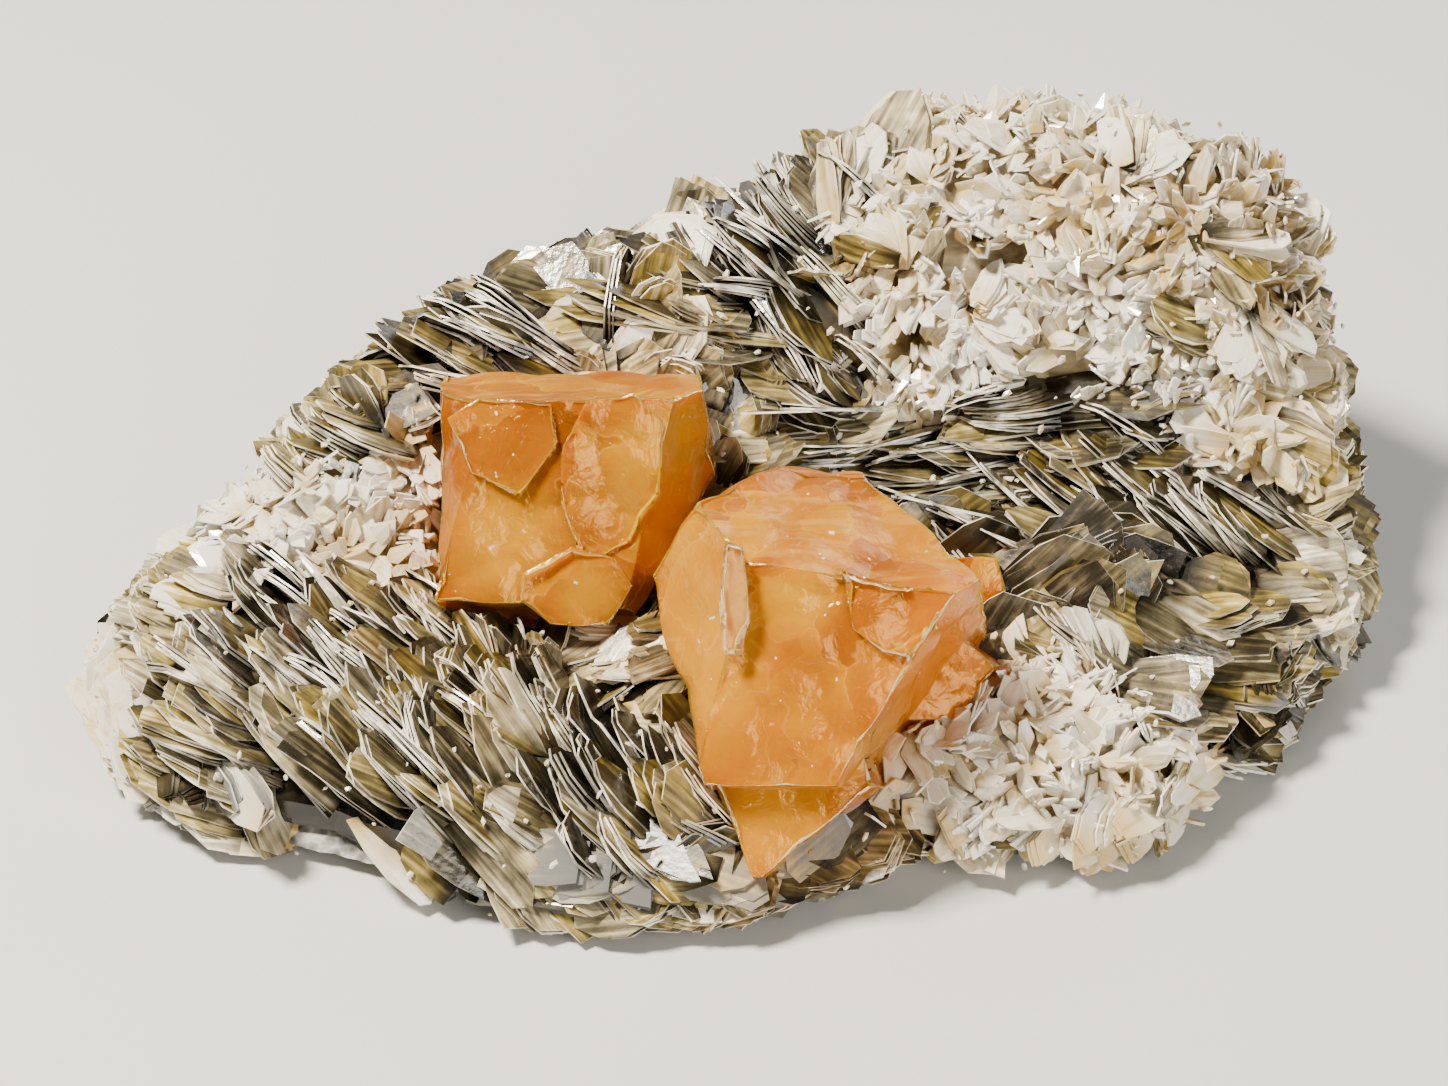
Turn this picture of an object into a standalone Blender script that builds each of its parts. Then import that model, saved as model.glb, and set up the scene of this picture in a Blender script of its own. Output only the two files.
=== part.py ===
"""Scheelite crystals on muscovite, a hand-sized mineral specimen, as separate solids.

Orange scheelite crystals sit in a bed of muscovite mica on a rock base that is cut flat
underneath. Lengths are in millimetres up to the last step of each shape, where MM turns
them to Blender's metres. +Z is up, the good side faces -Y and up, and the origin is on the
floor below the middle of the whole specimen.
"""

import math
import random
from collections import namedtuple

import bmesh
import bpy
from mathutils import Matrix, Vector, noise

MM = 0.001
GAP = 0.3

# The way the specimen is shown: its good side faces this far above the horizon.
SHOW_TILT = math.radians(38)
SHOW_POINT = Vector((0, 0, 15))
RIGHT = Vector((1, 0, 0))
UP = Vector((0, math.sin(SHOW_TILT), math.cos(SHOW_TILT)))
OUT = Vector((0, -math.cos(SHOW_TILT), math.sin(SHOW_TILT)))

# Moves every shape so that the origin lies below the middle of the specimen's box.
CENTRING = Vector((-1.8, -3.3, 0))

# The rock's widest outline in plan, anticlockwise, about its own middle.
ROCK_MIDDLE = Vector((0, -2))
BELT = (
    (62, 2), (63, 15), (62, 29), (52, 41), (34, 46), (16, 45), (4, 41), (-7, 39), (-19, 37),
    (-31, 31), (-41, 22), (-49, 11), (-57, 1), (-60, -10), (-57, -20), (-47, -27), (-36, -32),
    (-24, -36), (-11, -39), (-2, -39), (8, -36), (17, -31), (27, -31), (36, -32), (43, -28),
    (50, -18), (56, -8),
)
SPOKES = 36
BELT_SHARE = 0.28
BELT_PROBE = 0.75

# The top of the mica bed: an even layer with swells of (x, y, reach x, reach y, rise).
LAYER = 12
SWELLS = (
    (36, 35, 35, 20, 32),
    (-16, 26, 24, 17, 15),
    (-43, 11, 14, 14, 8),
    (65, 22, 16, 20, 15),
    (-54, -12, 13, 12, 4),
    (45, -4, 16, 12, 2),
    (-3, -14, 8, 8, 4),
    (31, -27, 11, 8, 2),
)
SWELL_POWER = 3.5
ROUGH_HEIGHT = 1.8
ROUGH_SPACING = 7

# Rings of the bed and of the base, from the top inwards: (share of the belt's radius,
# share of the way up from the belt to the top; below the belt, minus the share down to the floor).
BED_RINGS = ((0.25, 1), (0.5, 1), (0.68, 1), (0.82, 0.95), (0.92, 0.72), (0.985, 0.32), (1, 0),
             (0.92, -1))
BASE_RINGS = ((0.45, 1), (0.8, 0.85), (0.94, 0.05), (1.01, -0.45), (0.92, -1))
BASE_SHARE = 0.6

# Each mass of mica keeps to the ground that is nearest to its own site in plan.
SITES = {
    "mica_books_left": (-28, -30),
    "mica_crust_left": (-45, 5),
    "mica_books_back": (-20, 30),
    "mica_mound": (35, 30),
    "mica_books_right": (42, -4),
    "mica_rosette_front": (30, -35),
}
BLADES = {
    "mica_books_left": 32,
    "mica_crust_left": 22,
    "mica_books_back": 14,
    "mica_mound": 52,
    "mica_books_right": 22,
    "mica_rosette_front": 26,
}
BOOK_SIDES = 5
DRUSE_SIDES = 4
# A blade's outline before it is stretched, how uneven it is, and how much it narrows to its top.
BLADE_RADIUS = 0.55
BLADE_UNEVEN = (0.88, 1.06)
BLADE_TAPER = (0.9, 0.88, 1)
# How far a blade stands off the ground: shares of its length and of its width.
LENGTH_LIFT = 0.12
WIDTH_LIFT = 0.05
DEEPEST_DIVE = 18
# Places that blades may grow from: how many are tried, and the lowest and steepest of them.
PLACES = 12000
LOWEST_PLACE = 1.5
STEEPEST_PLACE = 0.03
TRIED_AT_ONCE = 10
# How much a place that is nearer to the viewer is preferred, a share of a millimetre each.
NEARNESS = 0.1
CELL_SIZE = 200
FLOOR_CLEARANCE = 0.6

# How the mica grows at a place (right, up) on the shown side: the angle of a blade's long
# axis from RIGHT, how far its flat face turns to the viewer, its length, width and thickness,
# and how far it strays from that. A blade with no rake grows out of the ground at random.
Habit = namedtuple("Habit", "right up rake face length width thick stray")
HABITS = (
    Habit(-55, -6, -12, 25, 12, 7, 1.4, 10),
    Habit(-60, -14, -30, 60, 10, 9, 1.2, 18),
    Habit(-48, -16, -30, 30, 14, 7, 1.6, 10),
    Habit(-42, -8, -35, 15, 12, 7, 1.4, 12),
    Habit(-40, -22, -40, 30, 15, 7, 1.8, 10),
    Habit(-33, -30, -48, 28, 15, 7, 1.8, 10),
    Habit(-24, -25, -45, 20, 14, 7, 1.6, 12),
    Habit(-24, -14, -38, 16, 13, 7, 1.4, 14),
    Habit(-11, -19, -52, 12, 13, 7, 1.4, 10),
    Habit(-5, -27, -42, 30, 12, 7, 1.4, 14),
    Habit(-17, -33, -40, 50, 12, 8, 1.6, 16),
    Habit(-5, -34, 15, 60, 9, 8, 1.4, 25),
    Habit(-20, -10, 70, 30, 9, 5, 1.2, 20),
    Habit(-10, -12, 25, 30, 8, 5, 1.2, 25),
    Habit(-40, 12, -22, 45, 10, 6, 1.2, 18),
    Habit(-46, 2, None, 0, 6, 5, 1.2, 0),
    Habit(-32, 6, None, 0, 5.5, 5, 1.2, 0),
    Habit(-38, -2, None, 0, 6, 5, 1.2, 0),
    Habit(-32, 18, 15, 30, 10, 7, 1.3, 15),
    Habit(-24, 21, -22, 18, 15, 9, 1.6, 6),
    Habit(-18, 26, 20, 55, 11, 9, 2.4, 15),
    Habit(-9, 28, 60, 60, 12, 9, 1.3, 20),
    Habit(0, 22, -8, 28, 13, 7, 1.4, 14),
    Habit(4, 31, -42, 32, 12, 8, 1.5, 15),
    Habit(8, 20, -50, 25, 11, 7, 1.3, 18),
    Habit(-2, 16, 60, 60, 8, 6, 1.2, 25),
    Habit(8, 13, 2, 32, 14, 7, 1.8, 8),
    Habit(18, 30, None, 0, 7, 6, 1.4, 0),
    Habit(34, 38, None, 0, 6.5, 6, 1.4, 0),
    Habit(32, 24, None, 0, 6, 5.5, 1.4, 0),
    Habit(50, 34, None, 0, 7, 6, 1.4, 0),
    Habit(56, 24, None, 0, 7, 6, 1.4, 0),
    Habit(22, 18, None, 0, 6, 5.5, 1.4, 0),
    Habit(24, 8, 8, 25, 15, 7, 1.8, 8),
    Habit(34, 7, 4, 22, 15, 7, 1.6, 9),
    Habit(32, 0, -12, 25, 14, 8, 1.6, 12),
    Habit(44, 4, -36, 22, 14, 7, 1.6, 12),
    Habit(52, 0, -34, 25, 13, 7, 1.5, 12),
    Habit(57, 13, -30, 60, 12, 10, 1.4, 18),
    Habit(63, 7, 26, 22, 12, 8, 1.6, 10),
    Habit(64, 1, -32, 30, 12, 8, 1.6, 12),
    Habit(58, -5, -5, 40, 11, 8, 1.5, 15),
    Habit(34, -3, 30, 65, 15, 11, 1.5, 10),
    Habit(42, -8, -20, 35, 12, 8, 1.5, 14),
    Habit(48, -12, -6, 30, 12, 7, 1.8, 12),
    Habit(52, -17, -12, 50, 10, 8, 1.6, 18),
    Habit(26, -20, None, 0, 5.5, 5, 1.2, 0),
    Habit(36, -20, None, 0, 6, 5.5, 1.3, 0),
    Habit(44, -24, None, 0, 6, 5.5, 1.3, 0),
)
SPREAD = 60
PICK_POWER = 5

# The books and plates that stand out one by one.
FEATURES = (
    Habit(34, -3, 35, 65, 14, 11, 1.5, 0),
    Habit(-7, 27, 60, 58, 14, 11, 1.6, 0),
    Habit(-2, 23, -10, 25, 24, 7, 2.6, 0),
    Habit(3, 31, -45, 30, 15, 8, 2.2, 0),
    Habit(-18, 25, -20, 45, 10, 8, 4, 0),
    Habit(-29, 19, -30, 20, 18, 9, 1.8, 0),
    Habit(-25, 20, -27, 20, 20, 10, 1.8, 0),
    Habit(-20, 22, -24, 22, 20, 10, 2, 0),
    Habit(-41, 11, 118, 50, 11, 7, 1.6, 0),
    Habit(-38, 13, 105, 50, 11, 7, 1.6, 0),
    Habit(-61, -16, 40, 66, 12, 10, 1.5, 0),
    Habit(-57, -18, -30, 70, 11, 9, 1.5, 0),
    Habit(-63, -10, -20, 30, 12, 8, 1.6, 0),
    Habit(10, 12, 3, 35, 21, 7, 2.6, 0),
    Habit(24, 8, 6, 24, 19, 7, 2.2, 0),
    Habit(47, 3, -38, 20, 22, 8, 2, 0),
    Habit(42, 4, -36, 22, 20, 7, 2, 0),
    Habit(62, 6, 30, 25, 13, 8, 2, 0),
    Habit(58, -7, 14, 30, 13, 8, 1.8, 0),
    Habit(60, 1, -30, 35, 14, 8, 2, 0),
    Habit(-7, -10, 35, 45, 11, 9, 2.4, 0),
    Habit(13, 37, 72, 55, 14, 9, 2, 0),
    Habit(17, 39, 58, 60, 12, 8, 1.8, 0),
    Habit(-9, -31, -42, 55, 13, 9, 1.8, 0),
    Habit(0, -32, 62, 30, 10, 6, 2, 0),
)

# Crystal faces: (bearing in plan from +X, rise above the horizon, distance from the middle).
LEFT_MIDDLE = Vector((-15.2, -1.1, 22.5))
LEFT_FACES = {
    "front": (-88, 34, 7.7),
    "left": (-151, 32, 12.6),
    "right": (-38, 11, 10.9),
    "top": (93, 67, 10.4),
    "bottom": (-93, -40, 12.6),
    "right_end": (6, 8, 14.7),
    "left_end": (-179, 2, 12.9),
    "right_low": (-20, -23, 12.0),
    "back_top": (89, 47, 12.2),
    "back": (90, -38, 11.0),
}
RIGHT_MIDDLE = Vector((9.2, -20.2, 19.0))
RIGHT_FACES = {
    "front": (-93, 34, 13.8),
    "upper": (39, 82, 13.2),
    "left": (-153, 29, 15.2),
    "right_low": (-41, -8, 13.0),
    "right_up": (31, 26, 13.8),
    "left_up": (153, 23, 16.9),
    "left_top": (127, 41, 17.1),
    "left_down": (-173, -18, 13.4),
    "bottom": (-90, -43.5, 14.9),
    "back_low": (-33, -18, 11.4),
    "apex": (80, 50, 16.6),
    "back": (90, -38, 13.0),
    "foot": (0, -90, 14.0),
}
TIP_MIDDLE = Vector((5.8, -31.8, 9.0))
TIP_FACES = {
    "front": (-91, 34, 7.4),
    "top": (90, 52, 4.5),
    "left": (-163, -15, 5.9),
    "right": (-46, -29, 5.2),
    "right_top": (4, 21, 9.5),
    "end": (-95, -44, 7.8),
    "back": (90, -38, 8.0),
    "foot": (0, -90, 7.4),
}
CORNER_MIDDLE = Vector((21.3, -20.1, 14.0))
CORNER_FACES = {
    "front": (-70, 30, 4.4),
    "right": (33, 41, 4.4),
    "low": (-35, -22, 3.6),
    "bottom": (-80, -46, 3.8),
    "back": (90, -38, 7.0),
    "left": (180, 0, 6.0),
    "upper_left": (135, 35, 6.0),
}
SMALL_MIDDLE = Vector((25.8, -6.9, 14.5))
SMALL_FACES = {
    "front": (-86, 43, 3.0),
    "upper": (88, 49, 3.1),
    "right": (6, 18, 2.3),
    "low": (-35, -19, 3.8),
    "back": (90, -38, 5.0),
    "left": (180, 0, 6.0),
    "foot": (-90, -60, 5.0),
}

# A block that every crystal is cleaved from.
BLOCK_SIZE = 80

# Cleavage steps on the front faces: outlines in (right, up) from the crystal's middle, how far
# each stands out of the front face, and how far its own face leans (bearing, rise added).
LEFT_STEPS = (
    (((2, 8.6), (6.5, 9.2), (9.4, 6.6), (9.2, -0.6), (6.2, -5.4), (1.5, -7.4), (-0.6, -1.5), (-0.4, 4)),
     0.6, (3, -3)),
    (((-11.5, 6.8), (-8.5, 8.9), (-1.5, 8.2), (-0.8, 4.6), (-4.6, -1), (-9.2, 1.5)), 0.4, (-5, 4)),
    (((-4.6, -8.2), (0.4, -5.6), (4.6, -6.6), (6.4, -9.4), (4, -13.4), (-1.6, -13.2), (-4.6, -11)),
     0.8, (0, -6)),
)
RIGHT_STEPS = (
    (((1.4, 7.0), (11.6, 4.4), (8.2, -1.6), (5.4, -0.8), (2.6, 1.4)), 0.35, (4, 3)),
    (((-9.2, 9.6), (-7.3, 9.0), (-6.7, 2.0), (-7.5, -1.4), (-9.3, -1.0), (-9.8, 3)), 1.8, (8, -4)),
)
# The steps are rooted this deep under the face, and cut from a bar this long.
STEP_ROOT = 4
STEP_BAR = 12


def direction(bearing, rise):
    """The unit vector with this bearing in plan and rise above the horizon, in degrees."""
    b, r = math.radians(bearing), math.radians(rise)
    return Vector((math.cos(b) * math.cos(r), math.sin(b) * math.cos(r), math.sin(r)))


def new_object(name, bm):
    """A closed bmesh in millimetres as a mesh object in metres, in its place."""
    bmesh.ops.translate(bm, verts=bm.verts, vec=CENTRING)
    bmesh.ops.scale(bm, verts=bm.verts, vec=(MM, MM, MM))
    mesh = bpy.data.meshes.new(name)
    bm.to_mesh(mesh)
    bm.free()
    obj = bpy.data.objects.new(name, mesh)
    bpy.context.scene.collection.objects.link(obj)
    return obj


def cleave(bm, point, normal):
    """Cuts away what lies beyond the plane and closes the cut with a flat face."""
    cut = bmesh.ops.bisect_plane(
        bm, geom=bm.verts[:] + bm.edges[:] + bm.faces[:], dist=1e-5,
        plane_co=point, plane_no=normal, clear_outer=True,
    )
    rim = [e for e in cut["geom_cut"] if isinstance(e, bmesh.types.BMEdge)]
    if rim:
        bmesh.ops.holes_fill(bm, edges=rim, sides=0)


def crystal_block(name, middle, faces, margin=0.0):
    """One convex crystal, cleaved from a cube along its faces. A margin makes it larger all round."""
    bm = bmesh.new()
    bmesh.ops.create_cube(bm, size=BLOCK_SIZE, matrix=Matrix.Translation(middle))
    for bearing, rise, distance in faces.values():
        normal = direction(bearing, rise)
        cleave(bm, middle + normal * (distance + margin), normal)
    return new_object(name, bm)


def cleavage_step(name, middle, faces, outline, height, lean, margin=0.0):
    """A flat-topped step that stands out of a crystal's front face, over an outline."""
    bearing, rise, distance = faces["front"]
    face_normal = direction(bearing, rise)
    top_normal = direction(bearing + lean[0], rise + lean[1])
    bm = bmesh.new()
    ring = [bm.verts.new(middle + RIGHT * x + UP * y + OUT * (distance - STEP_ROOT)) for x, y in outline]
    base = bm.faces.new(ring)
    grown = bmesh.ops.extrude_face_region(bm, geom=[base])["geom"]
    moved = [v for v in grown if isinstance(v, bmesh.types.BMVert)]
    bmesh.ops.translate(bm, verts=moved, vec=OUT * STEP_BAR)
    bmesh.ops.recalc_face_normals(bm, faces=bm.faces)
    centre = sum((Vector(p) for p in outline), Vector((0, 0))) / len(outline)
    on_face = middle + RIGHT * centre.x + UP * centre.y
    on_face += OUT * ((distance - (on_face - middle).dot(face_normal)) / OUT.dot(face_normal))
    cleave(bm, on_face + top_normal * (height + margin), top_normal)
    return new_object(name, bm)


def combine(target, operation, others):
    """Joins the other objects to the target, or cuts them out of it, and removes them."""
    group = bpy.data.collections.new("tools")
    bpy.context.scene.collection.children.link(group)
    for other in others:
        group.objects.link(other)
    boolean = target.modifiers.new("combine", "BOOLEAN")
    boolean.operation = operation
    boolean.operand_type = "COLLECTION"
    boolean.collection = group
    boolean.solver = "MANIFOLD"
    graph = bpy.context.evaluated_depsgraph_get()
    made = bpy.data.meshes.new_from_object(target.evaluated_get(graph))
    target.modifiers.clear()
    target.data = made
    for other in others:
        bpy.data.objects.remove(other)
    bpy.data.collections.remove(group)


def scheelite_left(name, margin=0.0):
    crystal = crystal_block(name, LEFT_MIDDLE, LEFT_FACES, margin)
    steps = [cleavage_step("step", LEFT_MIDDLE, LEFT_FACES, *step, margin) for step in LEFT_STEPS]
    combine(crystal, "UNION", steps)
    return crystal


def scheelite_right(name, margin=0.0):
    crystal = crystal_block(name, RIGHT_MIDDLE, RIGHT_FACES, margin)
    grown = [
        crystal_block("tip", TIP_MIDDLE, TIP_FACES, margin),
        crystal_block("corner", CORNER_MIDDLE, CORNER_FACES, margin),
    ]
    grown += [cleavage_step("step", RIGHT_MIDDLE, RIGHT_FACES, *step, margin) for step in RIGHT_STEPS]
    combine(crystal, "UNION", grown)
    return crystal


def scheelite_small(name, margin=0.0):
    return crystal_block(name, SMALL_MIDDLE, SMALL_FACES, margin)


def belt_polar():
    """The belt's points as (bearing, distance) about ROCK_MIDDLE, in order."""
    arms = [Vector(point) - ROCK_MIDDLE for point in BELT]
    return sorted((math.atan2(arm.y, arm.x) % math.tau, arm.length) for arm in arms)


def belt_radius(angle):
    """The rock's radius about ROCK_MIDDLE at this bearing, eased between the belt's points."""
    polar = belt_polar()
    angle %= math.tau
    before = max((p for p in polar if p[0] <= angle), default=(polar[-1][0] - math.tau, polar[-1][1]))
    after = min((p for p in polar if p[0] > angle), default=(polar[0][0] + math.tau, polar[0][1]))
    share = (angle - before[0]) / (after[0] - before[0])
    share = share * share * (3 - 2 * share)
    return before[1] + (after[1] - before[1]) * share


def bed_height(x, y):
    """The top of the mica bed over a point in plan, before it rounds off at the rim."""
    height = LAYER
    for cx, cy, reach_x, reach_y, rise in SWELLS:
        away = math.hypot((x - cx) / reach_x, (y - cy) / reach_y)
        height += rise * math.exp(-away ** SWELL_POWER)
    return height


def rock_point(angle, ring, height_share=1.0):
    """A point of the bed's or the base's surface, on a spoke and a (radius, rise) ring."""
    share, rise = ring
    reach = belt_radius(angle)
    away = Vector((math.cos(angle), math.sin(angle)))
    plan = ROCK_MIDDLE + away * reach * share
    probe = ROCK_MIDDLE + away * reach * BELT_PROBE
    belt = BELT_SHARE * bed_height(probe.x, probe.y)
    if rise < 0:
        return Vector((plan.x, plan.y, belt * (1 + rise)))
    rough = ROUGH_HEIGHT * noise.noise(Vector((plan.x, plan.y, 0)) / ROUGH_SPACING)
    top = (bed_height(plan.x, plan.y) + rough) * height_share
    return Vector((plan.x, plan.y, belt + (top - belt) * rise))


def rock_shape(rings, height_share=1.0, margin=0.0):
    """A closed, lens-shaped bmesh through the rings, flat on the floor."""
    bm = bmesh.new()
    angles = [math.tau * i / SPOKES for i in range(SPOKES)]
    loops = []
    for ring in rings:
        loops.append([bm.verts.new(rock_point(a, ring, height_share)) for a in angles])
    apex = bm.verts.new(rock_point(0, (0, 1), height_share))
    for i in range(SPOKES):
        j = (i + 1) % SPOKES
        bm.faces.new((apex, loops[0][i], loops[0][j]))
        for inner, outer in zip(loops, loops[1:]):
            bm.faces.new((inner[i], outer[i], outer[j], inner[j]))
    bm.faces.new(loops[-1][::-1])
    bmesh.ops.triangulate(bm, faces=[f for f in bm.faces if len(f.verts) == 4])
    bm.normal_update()
    if margin:
        for v, normal in [(v, v.normal.copy()) for v in bm.verts]:
            v.co += normal * margin
    return bm


def ground_samples(rng, count):
    """Points spread evenly over the bed above its belt: (point, outward normal)."""
    bm = rock_shape(BED_RINGS)
    top = [
        f for f in bm.faces
        if f.normal.z > STEEPEST_PLACE and min(v.co.z for v in f.verts) > LOWEST_PLACE
    ]
    areas = [f.calc_area() for f in top]
    found = []
    for _ in range(count):
        face = rng.choices(top, areas)[0]
        a, b, c = (v.co for v in face.verts[:3])
        s, t = sorted((rng.random(), rng.random()))
        found.append((a * s + b * (t - s) + c * (1 - t), face.normal.copy()))
    bm.free()
    return found


def site_of(point):
    return min(SITES, key=lambda k: math.hypot(point.x - SITES[k][0], point.y - SITES[k][1]))


def spread_out(rng, samples, count):
    """Picks count samples that keep their distance: each next one is the loneliest of a few."""
    kept = [samples.pop()]
    while len(kept) < count and len(samples) > TRIED_AT_ONCE:
        few = [samples.pop() for _ in range(TRIED_AT_ONCE)]
        best = max(few, key=lambda s: min((s[0] - k[0]).length for k in kept))
        kept.append(best)
    return kept


def pick_habit(rng, point):
    """A habit for a place, more likely the nearer its own place is."""
    shown = point - SHOW_POINT
    u, v = shown.dot(RIGHT), shown.dot(UP)
    odds = [1 / (0.5 + math.hypot(u - h.right, v - h.up)) ** PICK_POWER for h in HABITS]
    return rng.choices(HABITS, odds)[0]


def turned(rng, vector, degrees):
    axis = Vector((rng.gauss(0, 1), rng.gauss(0, 1), rng.gauss(0, 1)))
    if axis.length < 1e-6:
        return vector
    return Matrix.Rotation(math.radians(rng.gauss(0, 0.6) * degrees), 3, axis) @ vector


def blade_axes(rng, habit, ground_normal):
    """(long axis, flat face's normal) of one blade."""
    if habit.rake is None:
        axis = turned(rng, ground_normal, SPREAD).normalized()
        side = axis.cross(Vector((rng.gauss(0, 1), rng.gauss(0, 1), rng.gauss(0, 1)))).normalized()
        return axis, side
    rake, face = math.radians(habit.rake), math.radians(habit.face)
    axis = RIGHT * math.cos(rake) + UP * math.sin(rake)
    edge = UP * math.cos(rake) - RIGHT * math.sin(rake)
    normal = edge * math.cos(face) + OUT * math.sin(face)
    if rng.random() < 0.5:
        axis = -axis
    wobble = Matrix.Rotation(
        math.radians(rng.gauss(0, habit.stray)), 3,
        Vector((rng.gauss(0, 1), rng.gauss(0, 1), rng.gauss(0, 1))),
    )
    axis, normal = wobble @ axis, wobble @ normal
    dive = Matrix.Rotation(math.radians(rng.uniform(0, DEEPEST_DIVE)), 3, axis.cross(ground_normal))
    return dive @ axis, dive @ normal


Blade = namedtuple("Blade", "middle axis normal length width thick sides seed")


def grow_blade(rng, habit, point, ground_normal):
    axis, normal = blade_axes(rng, habit, ground_normal)
    length = habit.length * rng.uniform(0.8, 1.2)
    width = habit.width * rng.uniform(0.8, 1.2)
    thick = habit.thick * rng.uniform(0.8, 1.3)
    lift = LENGTH_LIFT * length if habit.rake is None else WIDTH_LIFT * width
    along = axis * (LENGTH_LIFT * length) if axis.dot(ground_normal) > 0 else Vector()
    sides = DRUSE_SIDES if habit.rake is None else BOOK_SIDES
    middle = point + ground_normal * lift + along
    return Blade(middle, axis, normal, length, width, thick, sides, rng.random())


def blade_shape(blade):
    """A flat mica crystal that narrows to its top face, in its place."""
    rng = random.Random(blade.seed)
    bm = bmesh.new()
    bmesh.ops.create_circle(bm, cap_ends=True, segments=blade.sides, radius=BLADE_RADIUS)
    for v in bm.verts:
        v.co *= rng.uniform(*BLADE_UNEVEN)
    grown = bmesh.ops.extrude_face_region(bm, geom=bm.faces[:])["geom"]
    top = [v for v in grown if isinstance(v, bmesh.types.BMVert)]
    bmesh.ops.translate(bm, verts=top, vec=(0, 0, 1))
    bmesh.ops.scale(bm, verts=top, vec=BLADE_TAPER)
    bmesh.ops.translate(bm, verts=bm.verts, vec=(0, 0, -0.5))
    bmesh.ops.scale(bm, verts=bm.verts, vec=(blade.length, blade.width, blade.thick))
    side = blade.normal.cross(blade.axis)
    turn = Matrix((blade.axis, side, blade.normal)).transposed().to_4x4()
    bmesh.ops.transform(bm, matrix=Matrix.Translation(blade.middle) @ turn, verts=bm.verts)
    bmesh.ops.recalc_face_normals(bm, faces=bm.faces)
    return bm


def clear_of_floor(blade):
    bm = blade_shape(blade)
    lowest = min(v.co.z for v in bm.verts)
    bm.free()
    return lowest > FLOOR_CLEARANCE


def place_seen_at(habit, samples):
    """The place on the ground that shows where a feature is seen."""
    def miss(sample):
        shown = sample[0] - SHOW_POINT
        aside = math.hypot(shown.dot(RIGHT) - habit.right, shown.dot(UP) - habit.up)
        return aside - NEARNESS * shown.dot(OUT)
    return min(samples, key=miss)


def grown_blades(name, samples, rng):
    """The blades of one mass: the features that are seen on it, then others between them."""
    own = [s for s in samples if site_of(s[0]) == name]
    blades = []
    for habit in FEATURES:
        place = place_seen_at(habit, samples)
        if site_of(place[0]) == name:
            blades.append(grow_blade(rng, habit, *place))
    for place in spread_out(rng, own, BLADES[name]):
        blades.append(grow_blade(rng, pick_habit(rng, place[0]), *place))
    return [b for b in blades if clear_of_floor(b)]


def keep_territory(bm, name):
    """Cuts a convex shape back to what is nearer to a mass's site than to any other site,
    less half the gap."""
    own = Vector(SITES[name])
    for other in SITES.values():
        away = Vector(other) - own
        if away.length > 0:
            flat = away.normalized()
            middle = (own + Vector(other)) / 2 - flat * (GAP / 2)
            cleave(bm, middle.to_3d(), flat.to_3d())


def spread_of(verts):
    """The diagonal of the box round some vertices."""
    low = Vector([min(v.co[i] for v in verts) for i in range(3)])
    high = Vector([max(v.co[i] for v in verts) for i in range(3)])
    return (high - low).length


def keep_largest(obj):
    """Drops the loose chips that a cut leaves."""
    bm = bmesh.new()
    bm.from_mesh(obj.data)
    unseen = set(bm.verts)
    bodies = []
    while unseen:
        stack, body = [unseen.pop()], []
        while stack:
            vert = stack.pop()
            body.append(vert)
            for edge in vert.link_edges:
                other = edge.other_vert(vert)
                if other in unseen:
                    unseen.remove(other)
                    stack.append(other)
        bodies.append(body)
    bodies.sort(key=spread_of)
    for body in bodies[:-1]:
        bmesh.ops.delete(bm, geom=body, context="VERTS")
    bm.to_mesh(obj.data)
    bm.free()


def mica_mass(name, samples):
    """The bed's own ground and the blades that grow on it, joined in one solid."""
    rng = random.Random(name)
    cell = bmesh.new()
    bmesh.ops.create_cube(cell, size=CELL_SIZE)
    keep_territory(cell, name)
    mass = new_object(name, cell)
    combine(mass, "INTERSECT", [new_object("bed", rock_shape(BED_RINGS))])
    blades = []
    for blade in grown_blades(name, samples, rng):
        bm = blade_shape(blade)
        keep_territory(bm, name)
        if bm.faces:
            blades.append(new_object("blade", bm))
        else:
            bm.free()
    combine(mass, "UNION", blades)
    for cutter in (
        new_object("cutter", rock_shape(BASE_RINGS, BASE_SHARE, GAP)),
        scheelite_left("cutter", GAP),
        scheelite_right("cutter", GAP),
        scheelite_small("cutter", GAP),
    ):
        combine(mass, "DIFFERENCE", [cutter])
    keep_largest(mass)
    return mass


def matrix_base():
    base = new_object("matrix_base", rock_shape(BASE_RINGS, BASE_SHARE))
    for cutter in (scheelite_left, scheelite_right, scheelite_small):
        combine(base, "DIFFERENCE", [cutter("cutter", GAP)])
    return base


def finish_surface(obj, material):
    obj.data.materials.clear()
    obj.data.materials.append(material)
    for polygon in obj.data.polygons:
        polygon.use_smooth = False
        polygon.material_index = 0


def mineral(name, colour, roughness):
    """A Principled material of this sRGB-linear colour."""
    material = bpy.data.materials.new(name)
    material.use_nodes = True
    shader = material.node_tree.nodes["Principled BSDF"]
    shader.inputs["Base Color"].default_value = (*colour, 1)
    shader.inputs["Roughness"].default_value = roughness
    shader.inputs["Metallic"].default_value = 0
    return material


def main():
    for obj in list(bpy.data.objects):
        bpy.data.objects.remove(obj)
    scheelite = mineral("scheelite", (0.80, 0.30, 0.05), 0.25)
    books = mineral("mica_olive", (0.42, 0.37, 0.20), 0.35)
    druse = mineral("mica_cream", (0.74, 0.66, 0.48), 0.4)
    rock = mineral("quartz_mica_rock", (0.36, 0.35, 0.33), 0.6)

    finish_surface(matrix_base(), rock)
    finish_surface(scheelite_left("scheelite_left"), scheelite)
    finish_surface(scheelite_right("scheelite_right"), scheelite)
    small = scheelite_small("scheelite_small")
    combine(small, "DIFFERENCE", [scheelite_right("cutter", GAP)])
    finish_surface(small, scheelite)

    samples = ground_samples(random.Random("ground"), PLACES)
    for name in SITES:
        finish_surface(mica_mass(name, samples), books if "books" in name else druse)


main()
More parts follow.
